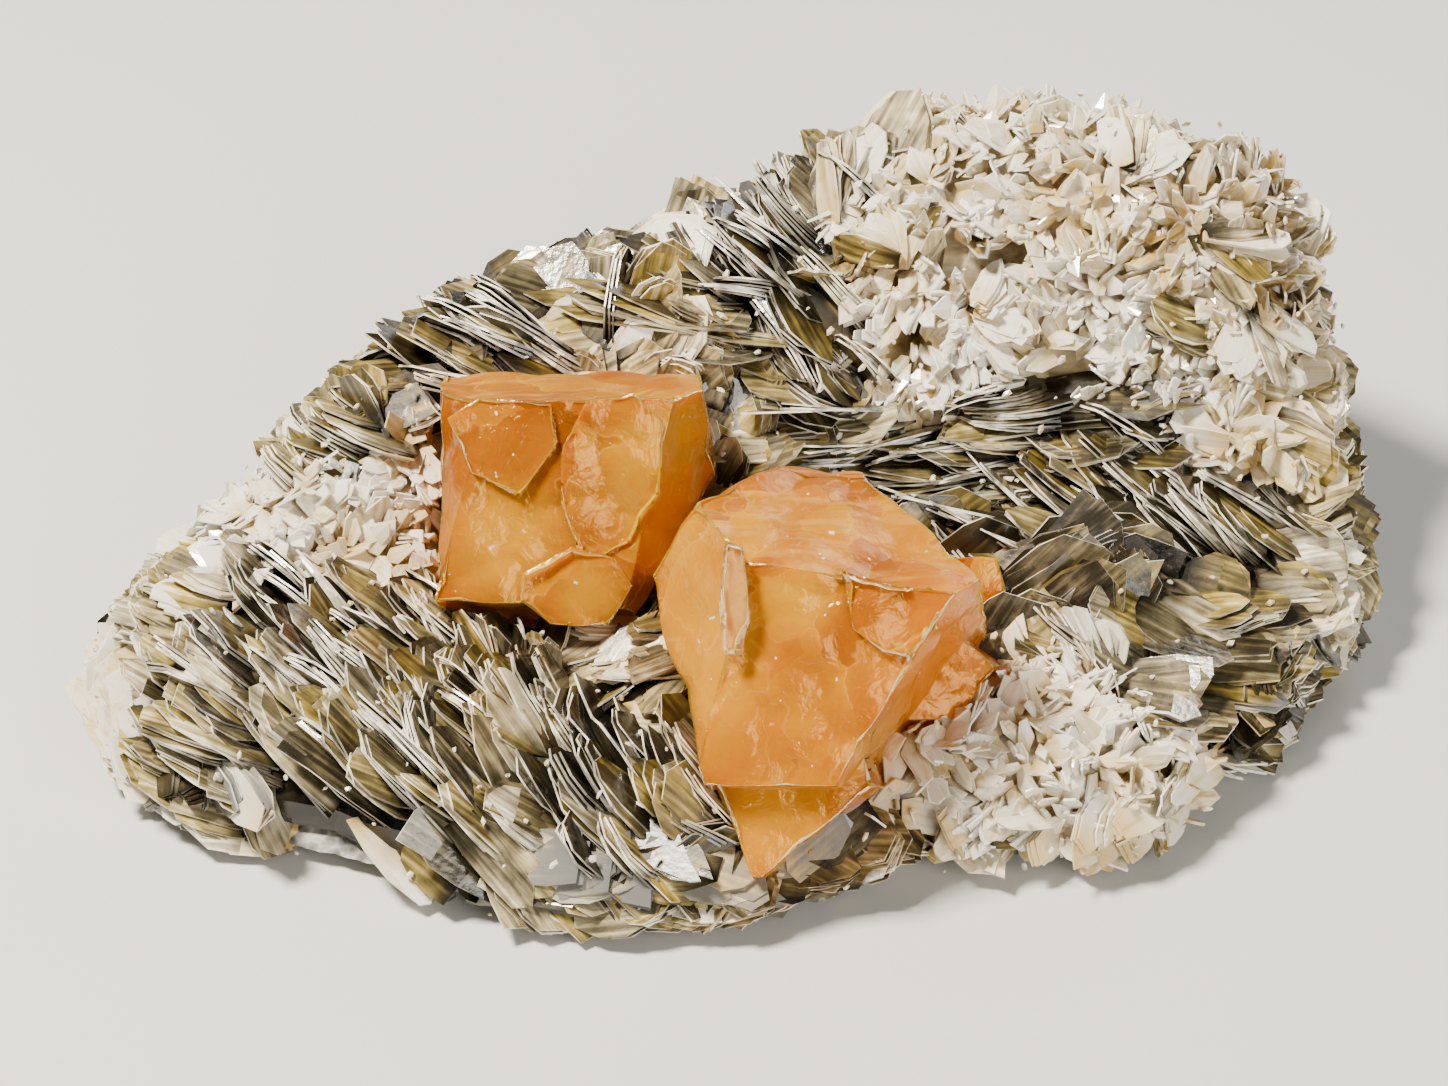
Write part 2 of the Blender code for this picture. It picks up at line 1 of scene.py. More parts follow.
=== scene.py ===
import math
import random
from collections import namedtuple

import bmesh
import bpy
import numpy as np
from mathutils import Matrix, Vector, noise
from mathutils.bvhtree import BVHTree


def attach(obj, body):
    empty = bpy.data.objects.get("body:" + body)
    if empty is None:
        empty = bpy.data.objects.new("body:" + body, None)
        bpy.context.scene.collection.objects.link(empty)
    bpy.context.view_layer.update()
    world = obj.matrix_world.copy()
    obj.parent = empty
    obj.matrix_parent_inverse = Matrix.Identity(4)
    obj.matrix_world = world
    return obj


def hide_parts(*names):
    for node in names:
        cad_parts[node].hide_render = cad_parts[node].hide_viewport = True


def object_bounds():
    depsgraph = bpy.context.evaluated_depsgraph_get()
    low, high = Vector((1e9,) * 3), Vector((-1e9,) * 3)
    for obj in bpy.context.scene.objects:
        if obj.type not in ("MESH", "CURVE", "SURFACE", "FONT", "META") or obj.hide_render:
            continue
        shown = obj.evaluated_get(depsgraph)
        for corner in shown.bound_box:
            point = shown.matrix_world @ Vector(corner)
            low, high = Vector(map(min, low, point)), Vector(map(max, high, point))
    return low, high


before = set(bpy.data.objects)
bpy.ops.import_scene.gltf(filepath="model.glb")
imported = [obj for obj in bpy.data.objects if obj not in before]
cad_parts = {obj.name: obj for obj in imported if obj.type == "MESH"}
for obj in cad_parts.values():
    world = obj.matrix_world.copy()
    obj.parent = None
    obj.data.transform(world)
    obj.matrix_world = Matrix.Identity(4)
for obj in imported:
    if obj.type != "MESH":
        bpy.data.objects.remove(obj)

# A scheelite on muscovite specimen: orange crystals in a bed of mica books and rosettes.
# Lengths are in millimetres up to a mesh's last step, where MM turns them to metres.
cad_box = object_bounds()
MM = 0.001

# The way the specimen is shown: its good side faces this far above the horizon.
SHOW_TILT = math.radians(38)
SHOW_POINT = Vector((0, 0, 15))
RIGHT = Vector((1, 0, 0))
UP = Vector((0, math.sin(SHOW_TILT), math.cos(SHOW_TILT)))
OUT = Vector((0, -math.cos(SHOW_TILT), math.sin(SHOW_TILT)))
CENTRING = Vector((-1.8, -3.3, 0))

# The ground that the mica grows from, as in the solids.
ROCK_MIDDLE = Vector((0, -2))
BELT = (
    (62, 2), (63, 15), (62, 29), (52, 41), (34, 46), (16, 45), (4, 41), (-7, 39), (-19, 37),
    (-31, 31), (-41, 22), (-49, 11), (-57, 1), (-60, -10), (-57, -20), (-47, -27), (-36, -32),
    (-24, -36), (-11, -39), (-2, -39), (8, -36), (17, -31), (27, -31), (36, -32), (43, -28),
    (50, -18), (56, -8),
)
BELT_SHARE = 0.28
BELT_PROBE = 0.75
LAYER = 12
SWELLS = (
    (36, 35, 35, 20, 32),
    (-16, 26, 24, 17, 15),
    (-43, 11, 14, 14, 8),
    (65, 22, 16, 20, 15),
    (-54, -12, 13, 12, 4),
    (45, -4, 16, 12, 2),
    (-3, -14, 8, 8, 4),
    (31, -27, 11, 8, 2),
)
SWELL_POWER = 3.5
ROUGH_HEIGHT = 1.8
ROUGH_SPACING = 7
SPOKES = 96
# (share of the belt's radius, share of the way up from the belt to the top)
RINGS = ((0.06, 1), (0.14, 1), (0.22, 1), (0.3, 1), (0.38, 1), (0.46, 1), (0.54, 1), (0.62, 1),
         (0.7, 0.99), (0.76, 0.97), (0.82, 0.95), (0.87, 0.85), (0.92, 0.72), (0.955, 0.53),
         (0.985, 0.32), (1, 0.1), (1, -0.05), (0.96, -0.45))
CORE_DEPTH = 0.9

SITES = {
    "mica_books_left": (-28, -30),
    "mica_crust_left": (-45, 5),
    "mica_books_back": (-20, 30),
    "mica_mound": (35, 30),
    "mica_books_right": (42, -4),
    "mica_rosette_front": (30, -35),
}

# How the mica grows at a place (right, up) on the shown side: the angle of a blade's long
# axis from RIGHT, how far its flat face turns to the viewer, its length, width and thickness,
# how far it strays from that, and its tone from dark olive 0 to white 1.
# A blade with no rake grows in a rosette.
Habit = namedtuple("Habit", "right up rake face length width thick stray tone")
HABITS = (
    Habit(-55, -6, -12, 25, 12, 7, 1.4, 10, 0.68),
    Habit(-60, -14, -30, 60, 10, 9, 1.2, 18, 0.92),
    Habit(-48, -16, -30, 30, 14, 7, 1.6, 10, 0.58),
    Habit(-42, -8, -35, 15, 12, 7, 1.4, 12, 0.35),
    Habit(-40, -22, -40, 30, 15, 7, 1.8, 10, 0.6),
    Habit(-33, -30, -48, 28, 15, 7, 1.8, 10, 0.62),
    Habit(-43, -28, -30, 45, 11, 8, 1.6, 14, 0.6),
    Habit(-24, -25, -45, 20, 14, 7, 1.6, 12, 0.56),
    Habit(-24, -14, -38, 16, 13, 7, 1.4, 14, 0.42),
    Habit(-11, -19, -52, 12, 13, 7, 1.4, 10, 0.3),
    Habit(-5, -27, -42, 30, 12, 7, 1.4, 14, 0.5),
    Habit(-17, -33, -40, 50, 12, 8, 1.6, 16, 0.62),
    Habit(-5, -34, 15, 60, 9, 8, 1.4, 25, 0.55),
    Habit(-20, -10, 70, 30, 9, 5, 1.2, 20, 0.5),
    Habit(-10, -12, 25, 30, 8, 5, 1.2, 25, 0.6),
    Habit(-40, 12, -22, 45, 10, 6, 1.2, 18, 0.55),
    Habit(-46, 2, None, 0, 6, 5, 1.2, 0, 0.95),
    Habit(-32, 6, None, 0, 5.5, 5, 1.2, 0, 0.96),
    Habit(-38, -2, None, 0, 6, 5, 1.2, 0, 0.92),
    Habit(-32, 18, 15, 30, 10, 7, 1.3, 15, 0.45),
    Habit(-24, 21, -22, 18, 15, 9, 1.6, 6, 0.34),
    Habit(-18, 26, 20, 55, 11, 9, 2.4, 15, 0.5),
    Habit(-9, 28, 60, 60, 12, 9, 1.3, 20, 0.62),
    Habit(0, 22, -8, 28, 13, 7, 1.4, 14, 0.42),
    Habit(4, 31, -42, 32, 12, 8, 1.5, 15, 0.35),
    Habit(8, 20, -50, 25, 11, 7, 1.3, 18, 0.4),
    Habit(-2, 16, 60, 60, 8, 6, 1.2, 25, 0.62),
    Habit(8, 13, 2, 32, 14, 7, 1.8, 8, 0.5),
    Habit(18, 30, None, 0, 7, 6, 1.4, 0, 0.72),
    Habit(34, 38, None, 0, 6.5, 6, 1.4, 0, 0.84),
    Habit(32, 24, None, 0, 6, 5.5, 1.4, 0, 0.92),
    Habit(50, 34, None, 0, 7, 6, 1.4, 0, 0.6),
    Habit(56, 24, None, 0, 7, 6, 1.4, 0, 0.56),
    Habit(22, 18, None, 0, 6, 5.5, 1.4, 0, 0.85),
    Habit(51, 13, None, 0, 5, 5, 1.2, 0, 0.66),
    Habit(61, 13, None, 0, 5, 5, 1.2, 0, 0.66),
    Habit(24, 8, 8, 25, 15, 7, 1.8, 8, 0.4),
    Habit(34, 7, 4, 22, 15, 7, 1.6, 9, 0.38),
    Habit(32, 0, -12, 25, 14, 8, 1.6, 12, 0.38),
    Habit(44, 4, -36, 22, 14, 7, 1.6, 12, 0.34),
    Habit(52, 0, -34, 25, 13, 7, 1.5, 12, 0.38),
    Habit(57, 13, -30, 60, 9, 7, 1.4, 18, 0.72),
    Habit(63, 7, 26, 22, 12, 8, 1.6, 10, 0.55),
    Habit(64, 1, -32, 30, 12, 8, 1.6, 12, 0.6),
    Habit(58, -5, -5, 40, 11, 8, 1.5, 15, 0.82),
    Habit(34, -3, 30, 65, 15, 11, 1.5, 10, 0.4),
    Habit(42, -8, -20, 35, 12, 8, 1.5, 14, 0.5),
    Habit(48, -12, -6, 30, 12, 7, 1.8, 12, 0.45),
    Habit(52, -17, -12, 50, 10, 8, 1.6, 18, 0.5),
    Habit(26, -20, None, 0, 5.5, 5, 1.2, 0, 0.96),
    Habit(36, -20, None, 0, 6, 5.5, 1.3, 0, 0.98),
    Habit(44, -24, None, 0, 6, 5.5, 1.3, 0, 0.95),
)
FEATURES = (
    Habit(34, -3, 35, 65, 14, 11, 1.5, 0, 0.36),
    Habit(-7, 27, 60, 58, 14, 11, 1.6, 0, 0.8),
    Habit(-2, 23, -10, 25, 24, 7, 2.6, 0, 0.5),
    Habit(3, 31, -45, 30, 15, 8, 2.2, 0, 0.35),
    Habit(-18, 25, -20, 45, 10, 8, 4, 0, 0.6),
    Habit(-29, 19, -30, 20, 18, 9, 1.8, 0, 0.34),
    Habit(-25, 20, -27, 20, 20, 10, 1.8, 0, 0.32),
    Habit(-20, 22, -24, 22, 20, 10, 2, 0, 0.34),
    Habit(-41, 11, 118, 50, 11, 7, 1.6, 0, 0.6),
    Habit(-38, 13, 105, 50, 11, 7, 1.6, 0, 0.6),
    Habit(-61, -16, 40, 66, 12, 10, 1.5, 0, 0.92),
    Habit(-57, -18, -30, 70, 11, 9, 1.5, 0, 0.92),
    Habit(-63, -10, -20, 30, 12, 8, 1.6, 0, 0.8),
    Habit(10, 12, 3, 35, 21, 7, 2.6, 0, 0.5),
    Habit(24, 8, 6, 24, 19, 7, 2.2, 0, 0.45),
    Habit(47, 3, -38, 20, 22, 8, 2, 0, 0.36),
    Habit(42, 4, -36, 22, 20, 7, 2, 0, 0.4),
    Habit(62, 6, 30, 25, 13, 8, 2, 0, 0.5),
    Habit(58, -7, 14, 30, 13, 8, 1.8, 0, 0.8),
    Habit(60, 1, -30, 35, 14, 8, 2, 0, 0.6),
    Habit(-7, -10, 35, 45, 10, 5, 2.4, 0, 0.6),
    Habit(13, 37, 72, 55, 14, 9, 2, 0, 0.76),
    Habit(17, 39, 58, 60, 12, 8, 1.8, 0, 0.8),
    Habit(-9, -31, -42, 55, 13, 9, 1.8, 0, 0.5),
    Habit(0, -32, 62, 30, 10, 6, 2, 0, 0.5),
    Habit(-43, -28, -30, 50, 12, 9, 1.8, 0, 0.55),
    Habit(-47, -26, -15, 60, 11, 8, 1.4, 0, 0.7),
)

# Fans of leaves that open from one foot: place, rake and face as above, the length and width of a
# leaf, how far the fan opens, how many leaves, their tone and how glassy they are.
Fan = namedtuple("Fan", "right up rake face length width opening count tone clear")
FANS = (
    Fan(12, 36, 78, 50, 12, 4.5, 55, 8, 0.78, 0),
    Fan(18, 29, 100, 62, 8, 3.6, 130, 10, 0.84, 0),
    Fan(49, 31, -24, 60, 9, 4, 80, 9, 0.8, 0),
    Fan(60, 31, 40, 62, 8, 4, 90, 8, 0.82, 0),
    Fan(40, 38, 60, 62, 7, 4, 110, 8, 0.78, 0),
    Fan(26, 24, 10, 66, 7, 3.6, 120, 9, 0.92, 0),
    Fan(53, 23, -70, 60, 8, 4, 100, 8, 0.8, 0),
    Fan(-7, -10, -8, 52, 10, 3, 75, 10, 0.66, 0),
    Fan(52, -3, 24, 55, 9, 4, 60, 8, 0.86, 0),
    Fan(51, 10, 100, 62, 7, 3.6, 140, 9, 0.84, 0),
    Fan(60, 12, 60, 62, 7, 3.6, 120, 8, 0.82, 0),
    Fan(-36, 13, 112, 55, 8, 4.5, 50, 6, 0.6, 0),
    Fan(36, -12, 96, 40, 8, 4.5, 80, 8, 0.74, 0.5),
    Fan(16, -22, 190, 45, 6, 3.4, 110, 8, 0.95, 0.1),
    Fan(-52, -22, -60, 62, 8, 3.6, 60, 6, 0.6, 0.2),
    Fan(-38, -27, -40, 62, 8, 3.6, 60, 6, 0.55, 0.2),
    Fan(-23, -12, 100, 50, 9, 4, 60, 6, 0.55, 0),
)

# How far apart these stand: blades of rosettes, books, the hearts of rosettes, crumbs, and the
# plates along the foot of the bed.
DRUSE_SPACING = 1.05
BOOK_SPACING = 2.3
ROSETTE_SPACING = 7.5
FLECK_SPACING = 3.4
RIM_SPACING = 2.4

# In what follows, two numbers in brackets are the least and the most of what varies, and three
# are the least, the most and the usual. Angles are in degrees.

# How far the habit of a neighbouring place may reach, as a share of its distance.
HABIT_REACH = (0.7, 1.3)
# Sheets are a few hundredths of a millimetre thick, and drawn thicker so that they show. In a
# book each has its own length, width and thickness, as shares, and its own lean, swing and slide.
SHEET = 0.24
SHEET_PITCH = 0.34
SHEET_LENGTHS = (0.78, 1.0)
SHEET_WIDTHS = (0.8, 1.05)
SHEET_THICKNESSES = (0.6, 1.2)
SHEET_LEAN = 0.9
SHEET_SWING = 3
SHEET_SLIDE = 0.05
# How much the tones of books and of their sheets differ, and how often an outline changes.
BOOK_SHADE = 0.09
SHEET_SHADE = 0.08
NEW_OUTLINE_SHARE = 0.4
SHAPE_COUNT = 16

# A book's length and width as shares of its habit's, its thickness, how far its sheets open, how
# it bends, how far it lifts off the ground, and how far out it is seated.
BOOK_LENGTHS = (0.55, 1.05)
BOOK_WIDTHS = (0.6, 1.1)
BOOK_THICKNESSES = (0.7, 3.4, 1.2)
BOOK_OPENINGS = (0.3, 2.5)
BOOK_BENDS = (-0.004, 0.012)
BOOK_LIFT = 22
BOOK_SEAT = 0.2
# All books turn this far to the viewer, and some show their flat face.
FACE_TURN = 12
OPEN_FACE_SHARE = 0.35
OPEN_FACE_TURNS = (20, 50)
# The same for the books that stand out; they are a little thicker than their habit says.
FEATURE_THICKER = 0.5
FEATURE_OPENINGS = (1, 2.5)
FEATURE_BENDS = (0.002, 0.01)
FEATURE_LIFT = 12
FEATURE_SEAT_OUT = 0.05
FEATURE_SEAT_ALONG = 0.12
# Of two places that show at one spot, the one in front counts by this much more.
FRONT_WEIGHT = 0.1

# Leaves of a fan: how they vary, how far the fan cups from side to side, and where they start.
LEAF_LENGTHS = (0.75, 1.05)
LEAF_THICKNESS_CHOICES = (0.4, 0.7)
LEAF_BENDS = (0.0, 0.02)
LEAF_STRAY = 3
LEAF_ROLL = 8
LEAF_SEAT_ALONG = 0.42
LEAF_PITCH = 0.25
FIRST_LEAF = -0.5
FAN_CUP = 40
FAN_SEAT_OUT = 1.0

# Petals of a rosette: how they rise from the ground and roll, their lengths, their widths as
# shares of those, how they stray and where they are seated. Some are small fans of sheets.
PETAL_RISES = (8, 60)
PETAL_ROLL = 30
PETAL_LENGTHS = (2.4, 6.4, 4.0)
PETAL_WIDTHS = (0.5, 1.0)
PETAL_STRAY = 1.5
PETAL_SEATS_ALONG = (0.15, 0.35)
PETAL_SEAT_OUT = 0.3
PETAL_OPENINGS = (6, 13)
PETAL_FAN_SHARE = 0.3
PETAL_FAN_GROWTH = 1.3
PETAL_FAN_SHEETS = 3
# How deep under the ground the heart of a rosette is, and how much their tones differ.
HEART_DEPTHS = (2, 4.5)
HEART_SHADE = 0.1
# How far a shard's middle bulges, in its own thicknesses, how much the face next to its rim counts
# as the rim and takes its pale colour, partly a painted highlight, and how much narrower it is at
# its tip.
SHARD_BULGE = 0.7
SHARD_BORDER = 0.8
SHARD_TAPER = 0.5

# Plates along the foot of the bed: height and width of each row, then their steps, lengths and
# widths as shares, their thickness, tone and glassiness, and how they lie.
RIM_ROWS = ((2.2, 3), (4.5, 6), (7, 6))
RIM_RING = (1, 0.1)
RIM_STEPS = (0.7, 1.3)
RIM_LENGTHS = (1.2, 2)
RIM_WIDTHS = (0.6, 1.0)
RIM_THICKNESSES = (0.7, 1.6)
RIM_TONES = (0.4, 0.7)
RIM_CLEAR_CHOICES = (0, 0, 0.2, 0.4)
RIM_OUTWARD = (0.5, 1.0)
RIM_UPWARD = (0.3, 1.0)
RIM_SLOPES = (-0.5, 0.5)
RIM_STRAY = 8
RIM_SEAT_OUT = 0.5
# Below rosettes these plates are smaller and paler.
RIM_PALE_SIZE = 0.7
RIM_PALE_TONE = 0.35

# Crumbs: their length, width as a share of it, tone, height over the ground, and stray.
CRUMB_LENGTHS = (0.5, 1.5)
CRUMB_WIDTH = 0.7
CRUMB_TONES = (0.9, 1.0)
CRUMB_HEIGHTS = (1.5, 3.5)
CRUMB_STRAY = 60

# The two finishes of mica: olive for books, cream for rosettes and for blades paler than this.
OLIVE, CREAM = 0, 1
PALE_TONE = 0.78
# The ground under them: its tones, the olive one dark as painted shade between books, its tone in a crevice
# (painted shade), its chance and its place along a blade (which gives it some of a foot's painted shade),
# and how it ends below a crystal.
CORE_TONES = {OLIVE: 0.12, CREAM: 0.8}
CORE_CREVICE_SHADE_TONE = 0.1
CORE_CHANCE = 0.3
CORE_TIP = 0.4
CORE_PIT = 0.5
CORE_FLOOR = 0.8
# Blades grow on ground that is higher than this, from even random places.
GROUND_LOW = 1.2
GROUND_SAMPLES = 90000
GROUND_SEED = 11
# Crevices on the shown side, dark with painted shade: right, up, half width, half height. Then
# where one fades out and where it is full, in its own half sizes, its depth, how bare it is, and
# how much its blades are darkened with painted shade.
CREVICES = ((26, 28.5, 5, 2.6), (34.6, 17.5, 2.6, 3), (10, 27, 3, 2.6), (19, 21, 2, 2))
CREVICE_FADE = (1.4, 0.4)
CREVICE_DEPTH = 3.5
CREVICE_BARENESS = 1.1
CREVICE_PAINTED_SHADE = 0.75

# A flake keeps this far inside the solids' box and off the floor, and moves this far at most.
BOX_MARGIN = 0.15
FLOOR_CLEARANCE = 0.6
MAX_SHIFT = 3.0
# A flake's ends, in half lengths from its middle, with some room for its bend.
FLAKE_ENDS = (-1.1, 1.2)
# How far a tip may stand out from the ground, and by what share of its length a blade that stands
# out further slides back at most.
TIP_REACH = 3.3
SLIDE_BACK = 0.6
# How deep a blade may enter a crystal at these places, in lengths from its middle, and how far
# the painted orange light of a crystal reaches onto the mica beside it.
DEPTH_PLACES = (-0.1, 0.45)
DEPTH_IN_CRYSTAL = 0.6
GLOW_REACH = 2.2
# How far apart two flakes read the pattern of streaks, so that no two look the same.
STREAK_STEP = 40

CRYSTALS = ("scheelite_left", "scheelite_right", "scheelite_small")
# A crystal's worn edges, the size that its faces are split to, the angles from which an edge is
# worn and looks sharp, and the width and depth of the chips and ripples on its faces.
WORN_EDGE = 0.12
WORN_ANGLE = 8
CRYSTAL_GRID = 1.0
CRYSTAL_SHARP_ANGLE = 22
CHIP_SIZE = 6.5
CHIP_DEPTH = 1.5
CHIP_WARP_SIZE = 5
CHIP_WARP = 1.6
CHIP_SHIFTS = (Vector((9, -1, -8)), Vector((0.5, 0.5, 0.5)), Vector((-6, 3, 4)))
RIPPLE_SIZE = 2.2
RIPPLE_DEPTH = 0.06
FACE_RAISE = 0.05
# Where colours change on the crystals: right, up, half width, half height on the shown side. They
# are the deep orange corner, the pale prism and the golden places where light comes back out.
DEEP_CORNER = ((24, -13, 7, 7),)
PALE_PRISM = ((1.5, -7.2, 1.2, 3.8),)
GOLDEN = ((-8, 6, 3.5, 5), (-5, 4, 3, 8), (-13, -5, 3, 3), (-21, 0, 5, 5), (7, -5, 3, 3),
          (-1, -12, 4, 7), (5, -27, 5, 5))
# Where each of them fades out and where it is full, in its own half sizes, and how strong it is.
DEEP_FADE = (1.6, 0.6)
PALE_FADE = (2.2, 1.7)
PALE_RAISED = (0.4, 0.8)
PALE_STRENGTH = 0.55
GOLDEN_FADE = (1.5, 0.5)
GOLDEN_STRENGTH = 0.8
# The side that frosted streaks face, and how a face has to turn to it; the crystals also get
# deeper in colour from high up on the shown side to far down.
FROST_SIDE = Vector((0, 0.55, 0.83))
FROST_TURN = (0.6, 1.0)
FROST_STRENGTH = 0.8
DEEPENING = (15, -35)
DEEPENING_STRENGTH = 0.4

# The rock: the size that its faces are split to, its grain, and how high its flat cut's rim is.
ROCK_GRID = 1.8
ROCK_SHARP_ANGLE = 30
ROCK_GRAIN = 1.6
ROCK_GRAIN_DEPTH = 0.35
ROCK_SINK = 0.3
ROCK_FLATNESS = 0.5
ROCK_FOOT = 0.3
# Points of a solid this close, in metres, are one point; a direction shorter than this is none.
WELD = 1e-6
SAME_HEIGHT = 1e-5
TINY = 1e-3


def linear(code):
    """An sRGB hex colour as linear RGBA."""
    parts = [int(code[i:i + 2], 16) / 255 for i in (1, 3, 5)]
    return (*[c / 12.92 if c <= 0.04045 else ((c + 0.055) / 1.055) ** 2.4 for c in parts], 1)


def clamped(value):
    return min(1.0, max(0.0, value))


def faded(value, none, full):
    """0 at one value, 1 at the other, and evenly in between."""
    return clamped((value - none) / (full - none))


def shown_at(point):
    """Where a point is on the shown side: how far right and how far up."""
    shown = Vector(point) - SHOW_POINT
    return shown.dot(RIGHT), shown.dot(UP)


def oval_distance(right, up, ovals):
    """How far a place is from the middle of the nearest of these ovals, 1 being its edge."""
    return min(math.hypot((right - x) / half_width, (up - y) / half_height)
               for x, y, half_width, half_height in ovals)


# The ground that the mica grows from.

def belt_polar():
    """The corners of the belt as angles and distances from the rock's middle, in order."""
    return sorted(
        (math.atan2(y - ROCK_MIDDLE.y, x - ROCK_MIDDLE.x) % math.tau,
         math.hypot(x - ROCK_MIDDLE.x, y - ROCK_MIDDLE.y))
        for x, y in BELT
    )


POLAR = belt_polar()


def belt_radius(angle):
    angle %= math.tau
    before = max((p for p in POLAR if p[0] <= angle), default=(POLAR[-1][0] - math.tau, POLAR[-1][1]))
    after = min((p for p in POLAR if p[0] > angle), default=(POLAR[0][0] + math.tau, POLAR[0][1]))
    share = (angle - before[0]) / (after[0] - before[0])
    share = share * share * (3 - 2 * share)
    return before[1] + (after[1] - before[1]) * share


def bed_height(x, y):
    height = LAYER
    for cx, cy, reach_x, reach_y, rise in SWELLS:
        away = math.hypot((x - cx) / reach_x, (y - cy) / reach_y)
        height += rise * math.exp(-away ** SWELL_POWER)
    return height


def ground_point(angle, ring):
    share, rise = ring
    reach = belt_radius(angle)
    away = Vector((math.cos(angle), math.sin(angle)))
    plan = ROCK_MIDDLE + away * reach * share
    probe = ROCK_MIDDLE + away * reach * BELT_PROBE
    belt = BELT_SHARE * bed_height(probe.x, probe.y)
    if rise < 0:
        return Vector((plan.x, plan.y, belt * (1 + rise)))
    rough = ROUGH_HEIGHT * noise.noise(Vector((plan.x, plan.y, 0)) / ROUGH_SPACING)
    top = bed_height(plan.x, plan.y) + rough
    return Vector((plan.x, plan.y, belt + (top - belt) * rise))


def ground_mesh():
    """The bed's surface as a closed bmesh with a fine grid on top."""
    bm = bmesh.new()
    angles = [math.tau * i / SPOKES for i in range(SPOKES)]
    loops = [[bm.verts.new(ground_point(a, ring)) for a in angles] for ring in RINGS]
    apex = bm.verts.new(ground_point(0, (0, 1)))
    for i in range(SPOKES):
        j = (i + 1) % SPOKES
        bm.faces.new((apex, loops[0][i], loops[0][j]))
        for inner, outer in zip(loops, loops[1:]):
            bm.faces.new((inner[i], outer[i], outer[j], inner[j]))
    bm.faces.new(loops[-1][::-1])
    bmesh.ops.triangulate(bm, faces=[f for f in bm.faces if len(f.verts) == 4])
    bm.normal_update()
    return bm


def site_of(point):
    """The mass of mica that a point belongs to."""
    return min(SITES, key=lambda k: math.hypot(point[0] - SITES[k][0], point[1] - SITES[k][1]))


def ground_samples(rng, count):
    """Even random places on the bed, as arrays of points and of normals."""
    bm = ground_mesh()
    top = [f for f in bm.faces if len(f.verts) == 3 and min(v.co.z for v in f.verts) > GROUND_LOW]
    corners = np.array([[v.co[:] for v in f.verts] for f in top])
    normals = np.array([f.normal[:] for f in top])
    areas = np.array([f.calc_area() for f in top])
    bm.free()
    pick = rng.choice(len(top), count, p=areas / areas.sum())
    s, t = np.sort(rng.random((2, count)), axis=0)
    a, b, c = corners[pick, 0], corners[pick, 1], corners[pick, 2]
    points = a * s[:, None] + b * (t - s)[:, None] + c * (1 - t)[:, None]
    return points, normals[pick]


def spaced(points, gap):
    """Indices of the points that keep this far from each other."""
    cells = {}
    kept = []
    for i, p in enumerate(points):
        key = tuple(int(math.floor(v / gap)) for v in p)
        near = (
            q for dx in (-1, 0, 1) for dy in (-1, 0, 1) for dz in (-1, 0, 1)
            for q in cells.get((key[0] + dx, key[1] + dy, key[2] + dz), ())
        )
        if all((p[0] - q[0]) ** 2 + (p[1] - q[1]) ** 2 + (p[2] - q[2]) ** 2 > gap * gap for q in near):
            cells.setdefault(key, []).append(p)
            kept.append(i)
    return kept


def places_apart(points, normals, gap):
    """Places on the ground that keep this far from each other, each with the ground's normal."""
    for i in spaced(points, gap):
        yield Vector(points[i]), Vector(normals[i])


def place_seen_at(points, normals, spot):
    """The place on the ground that shows at a spot of the shown side."""
    shown = points - np.array(SHOW_POINT)
    right, up, out = (shown @ np.array(axis) for axis in (RIGHT, UP, OUT))
    best = int(np.argmin(np.hypot(right - spot.right, up - spot.up) - FRONT_WEIGHT * out))
    return Vector(points[best]), Vector(normals[best])


def crystal_trees():
    trees = []
    for name in CRYSTALS:
        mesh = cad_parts[name].data
        verts = [v.co / MM - CENTRING for v in mesh.vertices]
        trees.append(BVHTree.FromPolygons(verts, [p.vertices[:] for p in mesh.polygons]))
    return trees


TREES = crystal_trees()
GROUND = BVHTree.FromBMesh(ground_mesh())


def depth_in_crystal(point):
    """How deep this point is inside a crystal; below 0 it is that far outside."""
    depths = []
    for tree in TREES:
        near, normal, _, distance = tree.find_nearest(point)
        depths.append(distance if (point - near).dot(normal) < 0 else -distance)
    return max(depths)


def crevice_at(point):
    """1 in the middle of a dark crevice of the rosettes, 0 away from all of them."""
    return faded(oval_distance(*shown_at(point), CREVICES), *CREVICE_FADE)


# Flakes of mica.

Plate = namedtuple("Plate", "middle axis normal length width thick bend tone chance clear shape")


def flake(bm, border_tone=0.0, bulge=0.0):
    """Gives a flat outline 1 mm of thickness, and its inner points a bulge. Returns its points,
    its faces and a value for each corner of each face: 1 on the rim, border_tone on a flat face
    beside the rim, and 0 further in."""
    bmesh.ops.solidify(bm, geom=bm.faces[:], thickness=1)
    bmesh.ops.recalc_face_normals(bm, faces=bm.faces)
    middle = sum((v.co.z for v in bm.verts), 0) / len(bm.verts)
    bmesh.ops.translate(bm, verts=bm.verts, vec=(0, 0, -middle))
    bm.normal_update()
    bm.verts.index_update()
    bm.faces.index_update()
    faces = [[v.index for v in f.verts] for f in bm.faces]
    sides = {f.index for f in bm.faces if abs(f.normal.z) < 0.5}
    border = {v.index for f in bm.faces if f.index in sides for v in f.verts}
    rim = [
        1.0 if f.index in sides else border_tone * (v.index in border)
        for f in bm.faces for v in f.verts
    ]
    for v in bm.verts:
        if v.index not in border:
            v.co.z += bulge
    points = np.array([v.co[:] for v in bm.verts])
    bm.free()
    return points, faces, np.array(rim)


